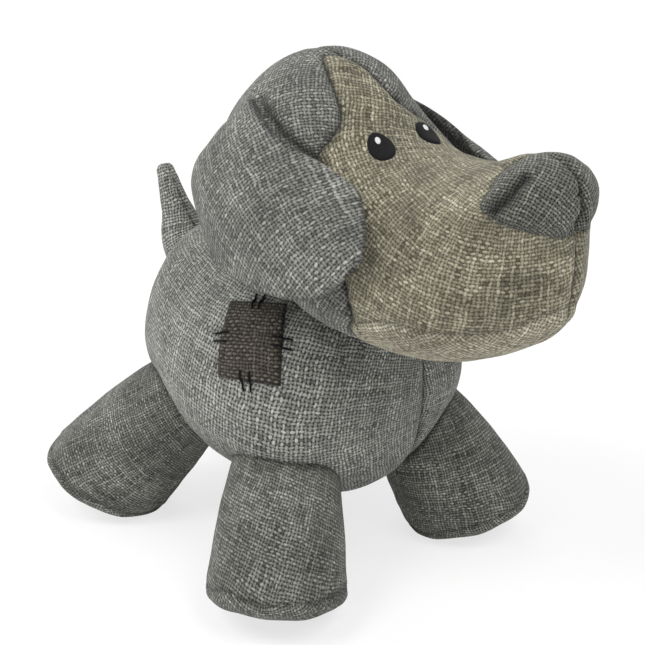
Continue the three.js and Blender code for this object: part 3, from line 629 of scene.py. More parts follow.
def flat_pattern(piece, place, grain, side=1):
    """Lays a sewn panel flat with the least stretch and turns it so that a yarn follows the grain."""
    mesh = piece.data
    mesh.uv_layers.new(name="pattern")
    for other in bpy.context.selected_objects:
        other.select_set(False)
    piece.select_set(True)
    bpy.context.view_layer.objects.active = piece
    bpy.ops.object.mode_set(mode="EDIT")
    bpy.ops.mesh.select_all(action="SELECT")
    bpy.ops.uv.unwrap(method="MINIMUM_STRETCH", margin=0, iterations=UNWRAP_ROUNDS)
    bpy.ops.object.mode_set(mode="OBJECT")
    piece.select_set(False)
    weave = np.zeros((len(mesh.vertices), 2))
    corner = read(mesh.loops, "vertex_index", 1, int)[:, 0]
    weave[corner] = read(mesh.uv_layers["pattern"].uv, "vector", 2)
    mesh.uv_layers.remove(mesh.uv_layers["pattern"])
    points = read(mesh.vertices, "co", 3) / MM - SHIFT
    a, b = read(mesh.edges, "vertices", 2, int).T
    on_toy = np.linalg.norm(points[a] - points[b], axis=1).sum()
    weave *= on_toy / np.linalg.norm(weave[a] - weave[b], axis=1).sum()
    mirror = np.array([1, side, 1])
    near = np.argsort(np.linalg.norm(points - np.array(place) * mirror, axis=1))[:GRAIN_POINTS]
    middle = weave[near].mean(0)
    slope = np.linalg.lstsq(points[near] - points[near].mean(0), weave[near] - middle, rcond=None)[0]
    x, y = (np.array(grain) * mirror) @ slope
    turn = math.pi / 2 - math.atan2(y, x)
    spin = np.array([[math.cos(turn), math.sin(turn)], [-math.sin(turn), math.cos(turn)]])
    weave_along(piece, *((weave - middle) @ spin).T)


def node_tree(owner):
    """Clears the nodes of a material or world and gives two short ways to add new ones."""
    owner.use_nodes = True
    tree = owner.node_tree
    tree.nodes.clear()

    def give(socket, value):
        if isinstance(value, bpy.types.NodeSocket):
            tree.links.new(value, socket)
        elif value is not None:
            socket.default_value = value

    def make(kind, named=None, *inputs):
        """A node with the named settings and inputs, and further inputs in order; values or links."""
        node = tree.nodes.new(f"ShaderNode{kind}")
        for key, value in (named or {}).items():
            if key in node.inputs:
                give(node.inputs[key], value)
            else:
                setattr(node, key, value)
        for socket, value in zip(node.inputs, inputs):
            give(socket, value)
        return node

    def calc(operation, *inputs):
        return make("Math", {"operation": operation}, *inputs).outputs[0]

    return make, calc


def colour_ramp(make, value, *stops):
    """The colour of a ramp through stops, each a place and a colour."""
    node = make("ValToRGB", None, value)
    elements = node.color_ramp.elements
    for element, (place, colour) in zip(elements, (stops[0], stops[-1])):
        element.position = place
        element.color = (*colour, 1)
    for place, colour in stops[1:-1]:
        elements.new(place).color = (*colour, 1)
    return node.outputs["Color"]


def surface(make, looks, colour, height=None, strength=0, depth=0):
    """Sends a shader to the material's output, with a bump where a height is given."""
    looks = {**looks, "Base Color": colour}
    if height is not None:
        bump = make("Bump", {"Strength": strength, "Distance": depth * MM, "Height": height})
        looks["Normal"] = bump.outputs[0]
    make("OutputMaterial", None, make("BsdfPrincipled", looks).outputs[0])


def woven_cloth(name, dark, middle, light, pitch=1.22, gap=0.08, contrast=0.025, mottle=0.14, seed=0.0):
    """Plain-woven heathered yarn: warp over weft in turn, streaky yarns, painted shade in the gaps and
    raised crowns painted lighter.
    """
    material = bpy.data.materials.new(name)
    make, calc = node_tree(material)

    place = make("Attribute", {"attribute_name": "weave"}).outputs["Vector"]
    drift = make("TexNoise", {"Scale": 150, "Detail": 3, "Roughness": 0.6}, place)
    shift = make("VectorMath", {"operation": "SUBTRACT"}, drift.outputs["Color"], (0.5, 0.5, 0.5))
    wander = make("VectorMath", {"operation": "SCALE", "Scale": YARN_WANDER * pitch * MM}, shift.outputs[0])
    placed = make("VectorMath", {"operation": "ADD"}, place, wander.outputs[0])
    scaled = make("VectorMath", {"operation": "SCALE", "Scale": 1 / (pitch * MM)}, placed.outputs[0])
    across, along = make("SeparateXYZ", None, scaled.outputs[0]).outputs[:2]

    column = calc("FLOOR", across)
    line = calc("FLOOR", along)
    parity = calc("FLOORED_MODULO", calc("ADD", column, line), 2.0)
    sign = calc("SUBTRACT", 1.0, calc("MULTIPLY", parity, 2.0))
    warp_round = calc("SINE", calc("MULTIPLY", calc("FRACT", across), math.pi))
    weft_round = calc("SINE", calc("MULTIPLY", calc("FRACT", along), math.pi))
    warp_lift = calc("MULTIPLY_ADD", calc("MULTIPLY", sign, weft_round), YARN_WAVE, YARN_LEVEL)
    weft_lift = calc("MULTIPLY_ADD", calc("MULTIPLY", sign, warp_round), -YARN_WAVE, YARN_LEVEL)

    def yarn_tone(yarn, way, start):
        tones = []
        for slowness, weight in YARN_STREAKS:
            spot = make("CombineXYZ", None, calc("MULTIPLY_ADD", yarn, YARN_APART, start),
                        calc("MULTIPLY", way, slowness), seed + slowness)
            tone = make("TexNoise", {"Scale": 1, "Detail": 1}, spot.outputs[0])
            tones.append(calc("MULTIPLY", tone.outputs["Fac"], weight))
        return calc("ADD", *tones)

    warp_tone = calc("SUBTRACT", yarn_tone(column, along, WARP_START), contrast)
    weft_tone = calc("ADD", yarn_tone(line, across, WEFT_START), contrast)
    warp = calc("MULTIPLY", calc("MULTIPLY", warp_round, warp_lift), calc("ADD", warp_tone, 0.5))
    weft = calc("MULTIPLY", calc("MULTIPLY", weft_round, weft_lift), calc("ADD", weft_tone, 0.5))
    warp_on_top = calc("GREATER_THAN", warp, weft)

    def visible(of_weft, of_warp):
        return make("Mix", {"data_type": "FLOAT"}, warp_on_top, None, of_weft, of_warp).outputs[0]

    crown = calc("MULTIPLY", visible(weft_round, warp_round),
                 calc("MULTIPLY_ADD", visible(weft_lift, warp_lift), CROWN_LIFT, CROWN_LEVEL))
    cell = make("CombineXYZ", None, column, line, seed)
    speck = make("TexWhiteNoise", {"noise_dimensions": "3D"}, cell.outputs[0]).outputs["Value"]
    tone = calc("MULTIPLY_ADD", calc("SUBTRACT", speck, 0.5), YARN_SPECK, visible(weft_tone, warp_tone))
    yarn_colour = colour_ramp(make, tone, *zip(TONE_STOPS, (dark, middle, light)))

    elsewhere = make("VectorMath", {"operation": "ADD"}, place, (seed, 0, 0))
    patchy = make("TexNoise", {"Scale": 55, "Detail": 3}, elsewhere.outputs[0])
    patch_shade = make("MapRange", None, patchy.outputs["Fac"], 0.3, 0.7, 1 - mottle, 1 + mottle)
    # Painted shade in the gaps between yarns and painted light on their crowns
    gap_shade = make("MapRange", {"interpolation_type": "SMOOTHSTEP"}, crown, *CROWN_RANGE, gap, CROWN_SHADE)
    # Painted shade in seams, creases and joins, from the seam attribute
    seam = make("Attribute", {"attribute_name": "seam"}).outputs["Fac"]
    painted_shade_tone = calc("SUBTRACT", 1.0, calc("MULTIPLY", seam, PAINTED_SHADE_STRENGTH))
    shade = calc("MULTIPLY", calc("MULTIPLY", patch_shade.outputs[0], gap_shade.outputs[0]), painted_shade_tone)
    colour = make("VectorMath", {"operation": "SCALE", "Scale": shade}, yarn_colour)

    fibre = make("TexNoise", {"Scale": 5200, "Detail": 2}, place)
    rise = calc("MULTIPLY_ADD", fibre.outputs["Fac"], FIBRE_RELIEF, calc("MAXIMUM", warp, weft))
    surface(make, CLOTH_LOOKS, colour.outputs[0], rise, 0.85, YARN_RELIEF)
    return material


def thread(name, shade, bright):
    """Twisted thread or satin stitching: fine ridges along the first cloth coordinate, painted darker in
    their grooves and lighter on their crowns as painted shade and light.
    """
    material = bpy.data.materials.new(name)
    make, calc = node_tree(material)
    place = make("Attribute", {"attribute_name": "weave"}).outputs["Vector"]
    wobble = make("TexNoise", {"Scale": 900}, place).outputs["Fac"]
    over = make("SeparateXYZ", None, place).outputs[1]
    way = calc("MULTIPLY_ADD", wobble, RIDGE_WOBBLE, calc("MULTIPLY", over, 1 / (RIDGE_PITCH * MM)))
    ridge = calc("ABSOLUTE", calc("SINE", calc("MULTIPLY", way, math.pi)))
    colour = colour_ramp(make, ridge, (0.05, shade), (0.8, bright))
    surface(make, {"Roughness": 0.7, "Specular IOR Level": 0.12}, colour, ridge, 0.7, RIDGE_RELIEF)
    return material


def plastic(name, colour):
    """Milky blow-moulded plastic with a faint mottle."""
    material = bpy.data.materials.new(name)
    make, _ = node_tree(material)
    mottle = make("TexNoise", {"Scale": 160}).outputs["Fac"]
    shade = [PLASTIC_SHADE * part for part in colour]
    surface(make, {"Roughness": 0.42}, colour_ramp(make, mottle, (0.3, shade), (0.7, colour)))
    return material


LOOKS = {name: woven_cloth(name, **cloth) for name, cloth in CLOTHS.items()}
LOOKS["black_thread"] = thread("black_thread", (0.002, 0.002, 0.002), (0.008, 0.008, 0.009))
LOOKS["pale_thread"] = thread("pale_thread", (0.55, 0.56, 0.55), (0.82, 0.83, 0.82))
LOOKS["squeaker_plastic"] = plastic("squeaker_plastic", (0.78, 0.8, 0.8))


class Leg:
    """A leg's frame from its joint: local Y up the leg, local Z outwards, and the length to the floor."""

    def __init__(self, name):
        self.name = name
        joint = JOINTS[f"{name}_leg_swing"]
        self.centre = np.array(joint["pos_m"]) / MM - SHIFT
        self.out = np.array(joint["axis"], float)
        rise = self.out[2]
        flat = np.array([self.out[0], self.out[1], 0]) / math.hypot(self.out[0], self.out[1])
        self.up = -flat * rise + np.array([0, 0, math.sqrt(1 - rise**2)])
        self.side = np.cross(self.up, self.out)
        self.tilt = SOLE_LEVEL * rise / math.sqrt(1 - rise**2)
        self.shift = np.array([*FOOT_SHIFT[name], 0])
        self.tuck = -flat * LEG_TUCK[name]
        self.length = LEG_RADIUS + FOOT_EDGE
        angle = np.linspace(0, math.pi / 2, SOLE_ROWS)
        for _ in range(FLOOR_TRIES):
            sole = self.sole(angle)
            lowest = min(self.place(*self.ring(*sole, turn))[:, 2].min() for turn in FLOOR_TURNS)
            self.length += (lowest + FOOT_FLAT) / self.up[2]

    def sole(self, angle):
        radius = FOOT_RADIUS * np.sin(angle) ** SOLE_ROUNDNESS
        drop = (FOOT_EDGE + SOLE_DOME) * np.cos(angle) ** SOLE_ROUNDNESS
        return radius, FOOT_EDGE - self.length - drop

    def sleeve_radius(self, height):
        share = np.clip(1 - height / (FOOT_EDGE - self.length), 0, 1)
        return FOOT_RADIUS + (LEG_RADIUS - FOOT_RADIUS) * share + LEG_SWELL * np.sin(math.pi * share)

    def ring(self, radius, height, turn):
        return radius * np.sin(turn), height, -radius * np.cos(turn)

    def place(self, x, y, z):
        lower = np.clip(-y / self.length, 0, 1)
        y = y - self.tilt * z * lower**2
        ways = ((x, self.side), (y, self.up), (z, self.out))
        return self.centre + sum(np.multiply.outer(*way) for way in ways) + self.lean(lower)

    def lean(self, lower):
        """How far the leg is moved at a share of the way down from its joint to its foot."""
        return np.multiply.outer(lower, self.shift) + np.multiply.outer(1 - lower, self.tuck)

    def clearance(self, points):
        """How far points lie outside the leg, nearly."""
        local = points - self.centre
        local = local - self.lean(np.clip(-local @ self.up / self.length, 0, 1))
        height = local @ self.up
        radius = np.hypot(local @ self.side, local @ self.out)
        below = radius - self.sleeve_radius(np.minimum(height, 0))
        above = np.hypot(radius, height) - LEG_RADIUS
        return np.where(height > 0, above, below)


LEGS = [Leg(name) for name in LEG_NAMES]


def neck_folds(points):
    """Noise from -1 to 1 in ridges that run outwards from the neck."""
    away = points - NECK
    angle = np.arctan2(away[:, 1], away[:, 0])
    spokes = NECK_FOLD_COUNT * np.array([np.cos(angle), np.sin(angle)])
    return lumps(np.column_stack([*spokes, away[:, 2] / NECK_FOLD_LENGTH]), 1, SEEDS["neck"])


def body_panels():
    """Two body panels with a pulled middle seam and dents where the legs are sewn on."""
    points, normals, faces, _ = stuffed_form(BODY, BODY_STEPS)
    shift = CHEST_SEAM_SHIFT * smooth(*CHEST_SEAM, points[:, 0])
    form = np.column_stack([points, normals, points[:, 1] - shift])
    halves = {"right": "upper", "left": "lower"}
    for side, name in SIDES:
        rows, kept = cut_out(form, faces.tolist(), (FIELDS, side > 0))
        points = rows[:, POINT]
        seam = np.abs(rows[:, FIELDS])
        relief = stuffed_relief(points, SEEDS["body"]) + seam_relief(points, seam, SEEDS["body_seam"])
        # line: painted shade along the middle seam, round the legs' joins and in the crease under the head
        line = painted_seam_shade(seam, "body")
        for leg in LEGS:
            gap = np.maximum(leg.clearance(points), 0)
            relief -= LEG_DENT * np.exp(-gap / LEG_DENT_REACH)
            line = np.maximum(line, painted_seam_shade(gap, "leg_on_body"))
        crease = np.maximum(clearance(HEAD, points), 0)
        relief += NECK_FOLD * neck_folds(points) * np.exp(-crease / NECK_FOLD_REACH)
        line = np.maximum(line, painted_seam_shade(crease, "neck_on_body"))
        points = points + rows[:, NORMAL] * relief[:, None]
        piece = mesh_piece(f"body_cover_{name}", points, kept, line, "body_linen")
        flat_pattern(piece, *BODY_GRAIN, -side)
        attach(piece, "torso")
        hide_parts(f"body_panel_{name}", f"body_stuffing_{halves[name]}")


def head_blend(piece):
    """Bakes a cover's placement into its mesh."""
    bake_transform(piece)


def face_seam_distance(points, turn):
    """How far points lie in front of the face seam, nearly."""
    share = turn / math.pi
    lean = FACE_LEAN * (1 - smooth(0, FACE_LEAN_END, np.abs(share)))
    share = np.abs(share + lean)
    turns, along = curve(FACE_SEAM, np.linspace(0, 1, FACE_SEAM_POINTS)).T
    seam_x = np.interp(share, turns, along)
    slope = np.interp(share, turns, np.gradient(along, turns)) / (FACE_SEAM_RADIUS * math.pi)
    return (points[:, 0] - seam_x) / np.sqrt(1 + slope**2)


def nose_gap(points):
    """How far points lie outside the nose's round form, nearly."""
    away = points - NOSE_CENTRE
    depth = np.where(away[:, 2] < 0, NOSE_DEPTH_BELOW, NOSE_AXES[2])
    scaled = np.column_stack([away[:, :2] / NOSE_AXES[:2], away[:, 2] / depth])
    return (np.linalg.norm(scaled, axis=1) - 1) * NOSE_AXES[0]


def with_nose(points, normals):
    """The head's points moved out onto the nose, with a rounded change between the two forms."""
    near = np.flatnonzero(nose_gap(points) < NOSE_REACH)
    moved = points.copy()
    out = np.zeros(len(near))
    for _ in range(NOSE_ROUNDS):
        place = points[near] + normals[near] * out[:, None]
        head = clearance(HEAD, place)
        nose = nose_gap(place)
        overlap = np.maximum(NOSE_BLEND - np.abs(head - nose), 0) / NOSE_BLEND
        gap = np.minimum(head, nose) - overlap**2 * NOSE_BLEND / 4
        out = np.clip(out - NOSE_EASE * gap, 0, NOSE_REACH)
    fade = 1 - smooth(NOSE_FADE * NOSE_REACH, NOSE_REACH, nose_gap(points[near]))
    moved[near] += normals[near] * (out * fade)[:, None]
    return moved


def nose_edge(points):
    """How far points lie inside the nose panel's edge."""
    x, z = NOSE_EDGE_FRONT
    above = (points[:, 2] - z - NOSE_EDGE_SLOPE * (x - points[:, 0])) / math.hypot(1, NOSE_EDGE_SLOPE)
    return np.minimum(above, points[:, 0] - NOSE_EDGE_BACK)


def ear_place(x, z, stand_off):
    """A point beside the head's right side, as far out as the middle of an ear that stands off from it."""
    _, half, middle, above, below = section_at(HEAD, x)
    reach = above if z > middle else below
    side = half * math.sqrt(max(1 - ((z - middle) / reach) ** 2, 0))
    return x, -side - stand_off - EAR_HALF - EAR_SEAT, z


def ear_root(side, name):
    """Where the ribs of an ear start on the head's side."""
    root = [ear_place(x, z - EAR_DROP[name], -EAR_HALF - EAR_SEAT) for (x, z, _), *_ in EAR_RIBS]
    return np.array(root) * [1, -side, 1]


def ear_root_gap(points):
    """How far points lie from the line where the nearer ear is sewn on."""
    stops = np.linspace(0, 1, LINE_POINTS)
    return np.minimum(*[nearest(points, curve(ear_root(*side), stops)) for side in SIDES])


def head_panels():
    """Grey side panels, the beige face, the chin gusset and the nose, cut where they pass into the body."""
    points, normals, faces, turn = stuffed_form(HEAD, HEAD_STEPS)
    face = face_seam_distance(points, turn)
    points = with_nose(points, normals)
    pressed = np.exp(-(np.linalg.norm(points - TEMPLE, axis=1) / TEMPLE_REACH) ** 2)
    points = points - normals * (TEMPLE_DEPTH * pressed)[:, None]
    normals = normals_of(points, faces)
    chin_x, chin_z = curve(CHIN_SEAM, np.linspace(0, 1, CHIN_SEAM_POINTS)).T
    chin = points[:, 2] - np.interp(points[:, 0], chin_x, chin_z)
    body_gap = clearance(BODY, points) + HEAD_SINK
    shift = MUZZLE_SEAM_SHIFT * smooth(*MUZZLE_SEAM, points[:, 0])
    form = np.column_stack([points, normals, body_gap, nose_edge(points), face, chin, points[:, 1] - shift])
    body, nose, front, jaw, middle = range(FIELDS, FIELDS + 5)
    dart = NOSE_ROUND * unit(curve(NOSE_DART, np.linspace(0, 1, LINE_POINTS)) - NOSE_CENTRE)

    def panel(name, look, grain, steps, replaced, side=1, opened=None):
        rows, kept = cut_out(form, faces.tolist(), (body, True), *steps)
        if opened:
            rows, kept = slit(rows, kept, middle, opened)
        points = rows[:, POINT]
        behind = smooth(-1, 1, -rows[:, front])
        in_nose = smooth(-1, 1, rows[:, nose])
        whole = np.minimum(1 - behind, 1 - smooth(*MUZZLE_SEAM_TOP, points[:, 0]))
        relief = stuffed_relief(points, SEEDS["head"])
        relief += NOSE_RISE * smooth(0, NOSE_RISE_REACH, rows[:, nose])
        # line: painted shade in the neck crease, in the ears' root crease, along the seams, in the nose's
        # darts and in its middle seam
        line = painted_seam_shade(np.maximum(rows[:, body] - HEAD_SINK, 0), "neck_on_head")
        root = ear_root_gap(points)
        relief -= EAR_CREASE * np.exp(-((root / EAR_CREASE_REACH) ** 2))
        line = np.maximum(line, painted_seam_shade(root, "ear_on_head"))
        for field, unsewn, seam, depth, kind in (
            (front, 0, "face_seam", SEAM_DEPTH, "hard"),
            (jaw, behind, "chin_seam", SOFT_SEAM_DEPTH, "soft"),
            (middle, whole, "middle_seam", SEAM_DEPTH, "hard"),
            (nose, 0, "nose_seam", SOFT_SEAM_DEPTH, "soft"),
        ):
            distance = np.abs(rows[:, field]) + FAR * unsewn
            relief += seam_relief(points, distance, SEEDS[seam], depth)
            line = np.maximum(line, painted_seam_shade(distance, kind))
        folded = points - NOSE_CENTRE
        folded[:, 1] = np.abs(folded[:, 1])
        dart_gap = nearest(NOSE_ROUND * unit(folded), dart) + FAR * (1 - in_nose)
        relief += seam_relief(points, dart_gap * NOSE_DART_NARROW, SEEDS["dart"], NOSE_DART_DEPTH)
        line = np.maximum(line, painted_seam_shade(dart_gap, "dart"))
        nose_front = in_nose * smooth(*NOSE_SEAM, points[:, 0])
        nose_middle = nose_front * np.exp(-((rows[:, middle] / NOSE_SEAM_REACH) ** 2))
        relief -= NOSE_SEAM_DEPTH * nose_middle
        line = np.maximum(line, nose_middle)
        piece = mesh_piece(name, points + rows[:, NORMAL] * relief[:, None], kept, line, look)
        flat_pattern(piece, *grain, side)
        head_blend(piece)
        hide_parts(*replaced)

    for side, name in SIDES:
        panel(f"head_cover_{name}", "head_linen", HEAD_GRAIN, ((front, False), (middle, side > 0)),
              [f"head_panel_{name}"], -side)
    panel("face_cover", "face_linen", FACE_GRAIN, ((front, True), (nose, False), (jaw, True)),
          ["face_panel", "head_stuffing"], opened=lambda row: row[0] > NOSE_CENTRE[0])
    panel("chin_cover", "chin_painted_light_linen", CHIN_GRAIN, ((front, True), (nose, False), (jaw, False)),
          ["chin_panel"])
    panel("nose_cover", "nose_linen", NOSE_GRAIN, ((nose, True),), ["nose_pad"])


def head_top(x, y):
    """The height of the head's top over a place."""
    _, half, middle, above, _ = section_at(HEAD, x)
    return middle + above * np.sqrt(np.maximum(1 - (y / half) ** 2, 0))


def oval_patch(name, centre, length, width, low, high, look):
    """An embroidered oval that follows the head's top: a low domed pad with a rounded rim."""
    angles = 2 * math.pi * np.arange(OVAL_COLUMNS) / OVAL_COLUMNS
    share, angle = np.meshgrid(np.linspace(0, 1, OVAL_RINGS + 1), angles, indexing="ij")
    along = (0.5 * length * share * np.cos(angle)).ravel()
    over = (0.5 * width * share * np.sin(angle)).ravel()
    x = centre[0] + along * math.cos(EYE_TURN) - over * math.sin(EYE_TURN)
    y = centre[1] + along * math.sin(EYE_TURN) + over * math.cos(EYE_TURN)
    points = np.column_stack([x, y, head_top(x, y)])
    slope_x, slope_y = slopes(head_top, x, y)
    normals = unit(np.column_stack([-slope_x, -slope_y, np.ones(len(x))]))
    dome = np.sqrt(np.maximum(1 - share.ravel() ** 4, 0))
    rise = low + (high - low) * dome + stuffed_relief(points, SEEDS["head"])
    faces = ring_faces(*share.shape)[:, ::-1]
    piece = mesh_piece(name, points + normals * rise[:, None], faces.tolist(), 0, look, OVAL_WALL)
    weave_along(piece, along, over)
    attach(piece, "head")
    return piece


def eyes():
    """Black embroidered eyes, each with a pale glint on it."""
    for name, y in EYE_Y.items():
        eye = oval_patch(f"eye_oval_{name}", (EYE_X, y), EYE_LENGTH, EYE_WIDTH[name],
                         -EYE_SINK, EYE_THICKNESS, "black_thread")
        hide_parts(f"eye_{name}")
        place = (EYE_X - GLINT_BACK, y + GLINT_OUT)
        glint = oval_patch(f"eye_spark_{name}", place, GLINT_LENGTH, GLINT_WIDTH,
                           GLINT_RISE, EYE_THICKNESS + GLINT_RISE, "pale_thread")
        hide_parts(f"eye_glint_{name}")


def ear_middle(row, across, drop):
    """The middle of the right ear's padding, hanging lower by drop."""
    places = [[ear_place(x, z - drop, stand_off) for x, z, stand_off in rib] for rib in EAR_RIBS]
    back, middle, front = [curve(rib, row) for rib in places]
    bend = (back + front) / 2 - middle
    slope = (front - back) / 2
    return middle + slope * across[..., None] + bend * across[..., None] ** 2


def ears():
    """Floppy ears: two sheets joined along a rim, with thin padding."""
    share, across = np.meshgrid(0.5 - 0.5 * np.cos(np.linspace(0, math.pi, EAR_ROWS + 1)),
                                -np.cos(np.linspace(0, math.pi, EAR_COLUMNS + 1)), indexing="ij")
    narrowing = np.clip((share - EAR_CORNER_START) / (1 - EAR_CORNER_START), 0, 1)
    across = across * (1 - EAR_CORNER * narrowing**EAR_CORNER_POWER)
    index = np.arange(share.size).reshape(share.shape)
    inside = index.copy()
    inside[1:-1, 1:-1] += share.size
    faces = np.vstack([quads(index), quads(inside, turned=True)])
    for side, name in SIDES:
        mirror = [1, -side, 1]
        middle = ear_middle(share, across, EAR_DROP[name])
        down = np.gradient(middle, axis=0)
        over = np.gradient(middle, axis=1)
        normal = unit(np.cross(down, over))
        normal *= np.sign(-normal[..., 1].mean())
        down_length = np.cumsum(np.linalg.norm(down, axis=-1), axis=0)
        over_length = np.cumsum(np.linalg.norm(over, axis=-1), axis=1)
        root = down_length - down_length[0]
        edge = np.minimum.reduce([root, down_length[-1] - down_length, over_length - over_length[:, :1],
                                  over_length[:, -1:] - over_length])
        half = EAR_EDGE * np.sqrt(1 - (1 - np.clip(edge / EAR_EDGE, 0, 1)) ** 2)
        swell = (1 - across**2) * np.sin(math.pi * share) ** EAR_BATTING_POWER
        half += EAR_BATTING * swell * smooth(0, EAR_BATTING_REACH, edge)
        flat = middle.reshape(-1, 3)
        wave, edge_wave = [
            height * lumps(flat, size, SEEDS[seed]).reshape(edge.shape)
            for (height, size), seed in ((EAR_WAVE, "ear"), (EAR_EDGE_WAVE, "ear_edge"))
        ]
        wave = (wave + edge_wave * np.exp(-edge / EAR_EDGE_WAVE_REACH)) * smooth(0, EAR_WAVE_END, root)
        sheets = [(middle + normal * (wave + way * half)[..., None]).reshape(-1, 3) for way in (1, -1)]
        # line: painted shade along the ear's rolled edge and in its root crease
        line = np.maximum(painted_seam_shade(edge, "ear_edge"), painted_seam_shade(root, "ear_root")).ravel()
        rows = np.column_stack([np.vstack(sheets) * mirror, np.tile(line, 2)])
        rows, kept = used(rows, (faces if side < 0 else faces[:, ::-1]).tolist())
        points = rows[:, POINT]
        piece = mesh_piece(f"ear_{name}_flap", points, kept, rows[:, 3], "head_linen", 0)
        plane = np.linalg.svd(points - points.mean(0), full_matrices=False)[2][2]
        grain = EAR_GRAIN * mirror
        grain = unit(grain - plane * (grain @ plane))
        weave_along(piece, points @ np.cross(plane, grain), points @ grain)
        seam = ear_root(side, name)[1] + SHIFT
        start, end = [tuple((seam + EAR_HANG * reach) * MM) for reach in EAR_BEND]
        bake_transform(piece)
        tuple(start)
        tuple(end)
        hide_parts(f"ear_{name}_outer", f"ear_{name}_inner", f"ear_{name}_batting")


def revolved(radius, height, columns):
    """Turn, radius, height, length along the profile and faces of a turned sheet, open along one line."""
    length = along_path(np.column_stack([radius, height]))
    turns, radii = np.meshgrid(np.linspace(0, 2 * math.pi, columns + 1), radius)
    heights, lengths = [np.repeat(rows[:, None], columns + 1, axis=1) for rows in (height, length)]
    faces = quads(np.arange(turns.size).reshape(turns.shape), turned=True)
    return turns.ravel(), radii.ravel(), heights.ravel(), lengths.ravel(), faces


def facing_out(points, faces, outward):
    """Normals and faces of a mesh, turned round if they point inwards."""
    normals = normals_of(points, faces)
    if (normals * outward).sum(1).mean() < 0:
        return -normals, faces[:, ::-1]
    return normals, faces


def leg_pieces(leg, seed):
    """A leg's sleeve and its sole, which lies flat where it stands."""
    seam_height = FOOT_EDGE - leg.length
    straight = np.linspace(seam_height, 0, SLEEVE_ROWS)
    dome = np.linspace(0, math.pi / 2, SLEEVE_DOME_ROWS)[1:]
    sleeve = (np.concatenate([leg.sleeve_radius(straight), LEG_RADIUS * np.cos(dome)]),
              np.concatenate([straight, LEG_RADIUS * np.sin(dome)]))
    sole = leg.sole(np.linspace(SOLE_START, math.pi / 2, SOLE_ROWS))
    for name, profile in (("sleeve", sleeve), ("sole", sole)):
        turn, radii, heights, lengths, faces = revolved(*profile, LEG_COLUMNS)
        wave = sum(share * np.sin(count * turn + times * seed) for share, count, times in RIM_WAVES)
        strays = RIM_WAVE * wave * np.exp(-(((heights - seam_height) / RIM_REACH) ** 2))
        points = leg.place(*leg.ring(radii, heights + strays, turn))
        normals, faces = facing_out(points, faces, points - (leg.centre - leg.up * 0.5 * leg.length))
        foot_seam = np.abs(heights - seam_height)
        relief = stuffed_relief(points, seed) * smooth(0, SOLE_SMOOTH, points[:, 2])
        relief += seam_relief(points, foot_seam, seed + 3, SOFT_SEAM_DEPTH)
        # line: painted shade that comes and goes in the sole seam, at the leg's join to the body and in its
        # back seam
        tone, change, size = RIM_PAINTED_SHADE
        line = (tone + change * lumps(points, size, seed + 8)) * painted_seam_shade(foot_seam, "foot")
        gap = np.maximum(clearance(BODY, points) + LEG_DENT, 0)
        line = np.maximum(line, painted_seam_shade(gap, "leg_root"))
        replaced = [f"{leg.name}_leg_{name}"]
        if name == "sleeve":
            replaced.append(f"{leg.name}_leg_stuffing")
            back_seam = np.minimum(turn, 2 * math.pi - turn) * radii
            relief += seam_relief(points, back_seam, seed + 6, SOFT_SEAM_DEPTH)
            line = np.maximum(line, painted_seam_shade(back_seam, "leg_back"))
            around = turn * 0.5 * (LEG_RADIUS + FOOT_RADIUS)
            weave = (around * math.cos(LEG_BIAS) - lengths * math.sin(LEG_BIAS),
                     around * math.sin(LEG_BIAS) + lengths * math.cos(LEG_BIAS))
        else:
            weave = (lengths * np.sin(turn), lengths * np.cos(turn))
        points = points + normals * relief[:, None]
        points[:, 2] = np.maximum(points[:, 2], 0)
        piece = mesh_piece(f"{leg.name}_leg_{name}_cover", points, faces.tolist(), line, "leg_linen")
        weave_along(piece, *weave)
        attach(piece, f"{leg.name}_leg")
        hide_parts(*replaced)


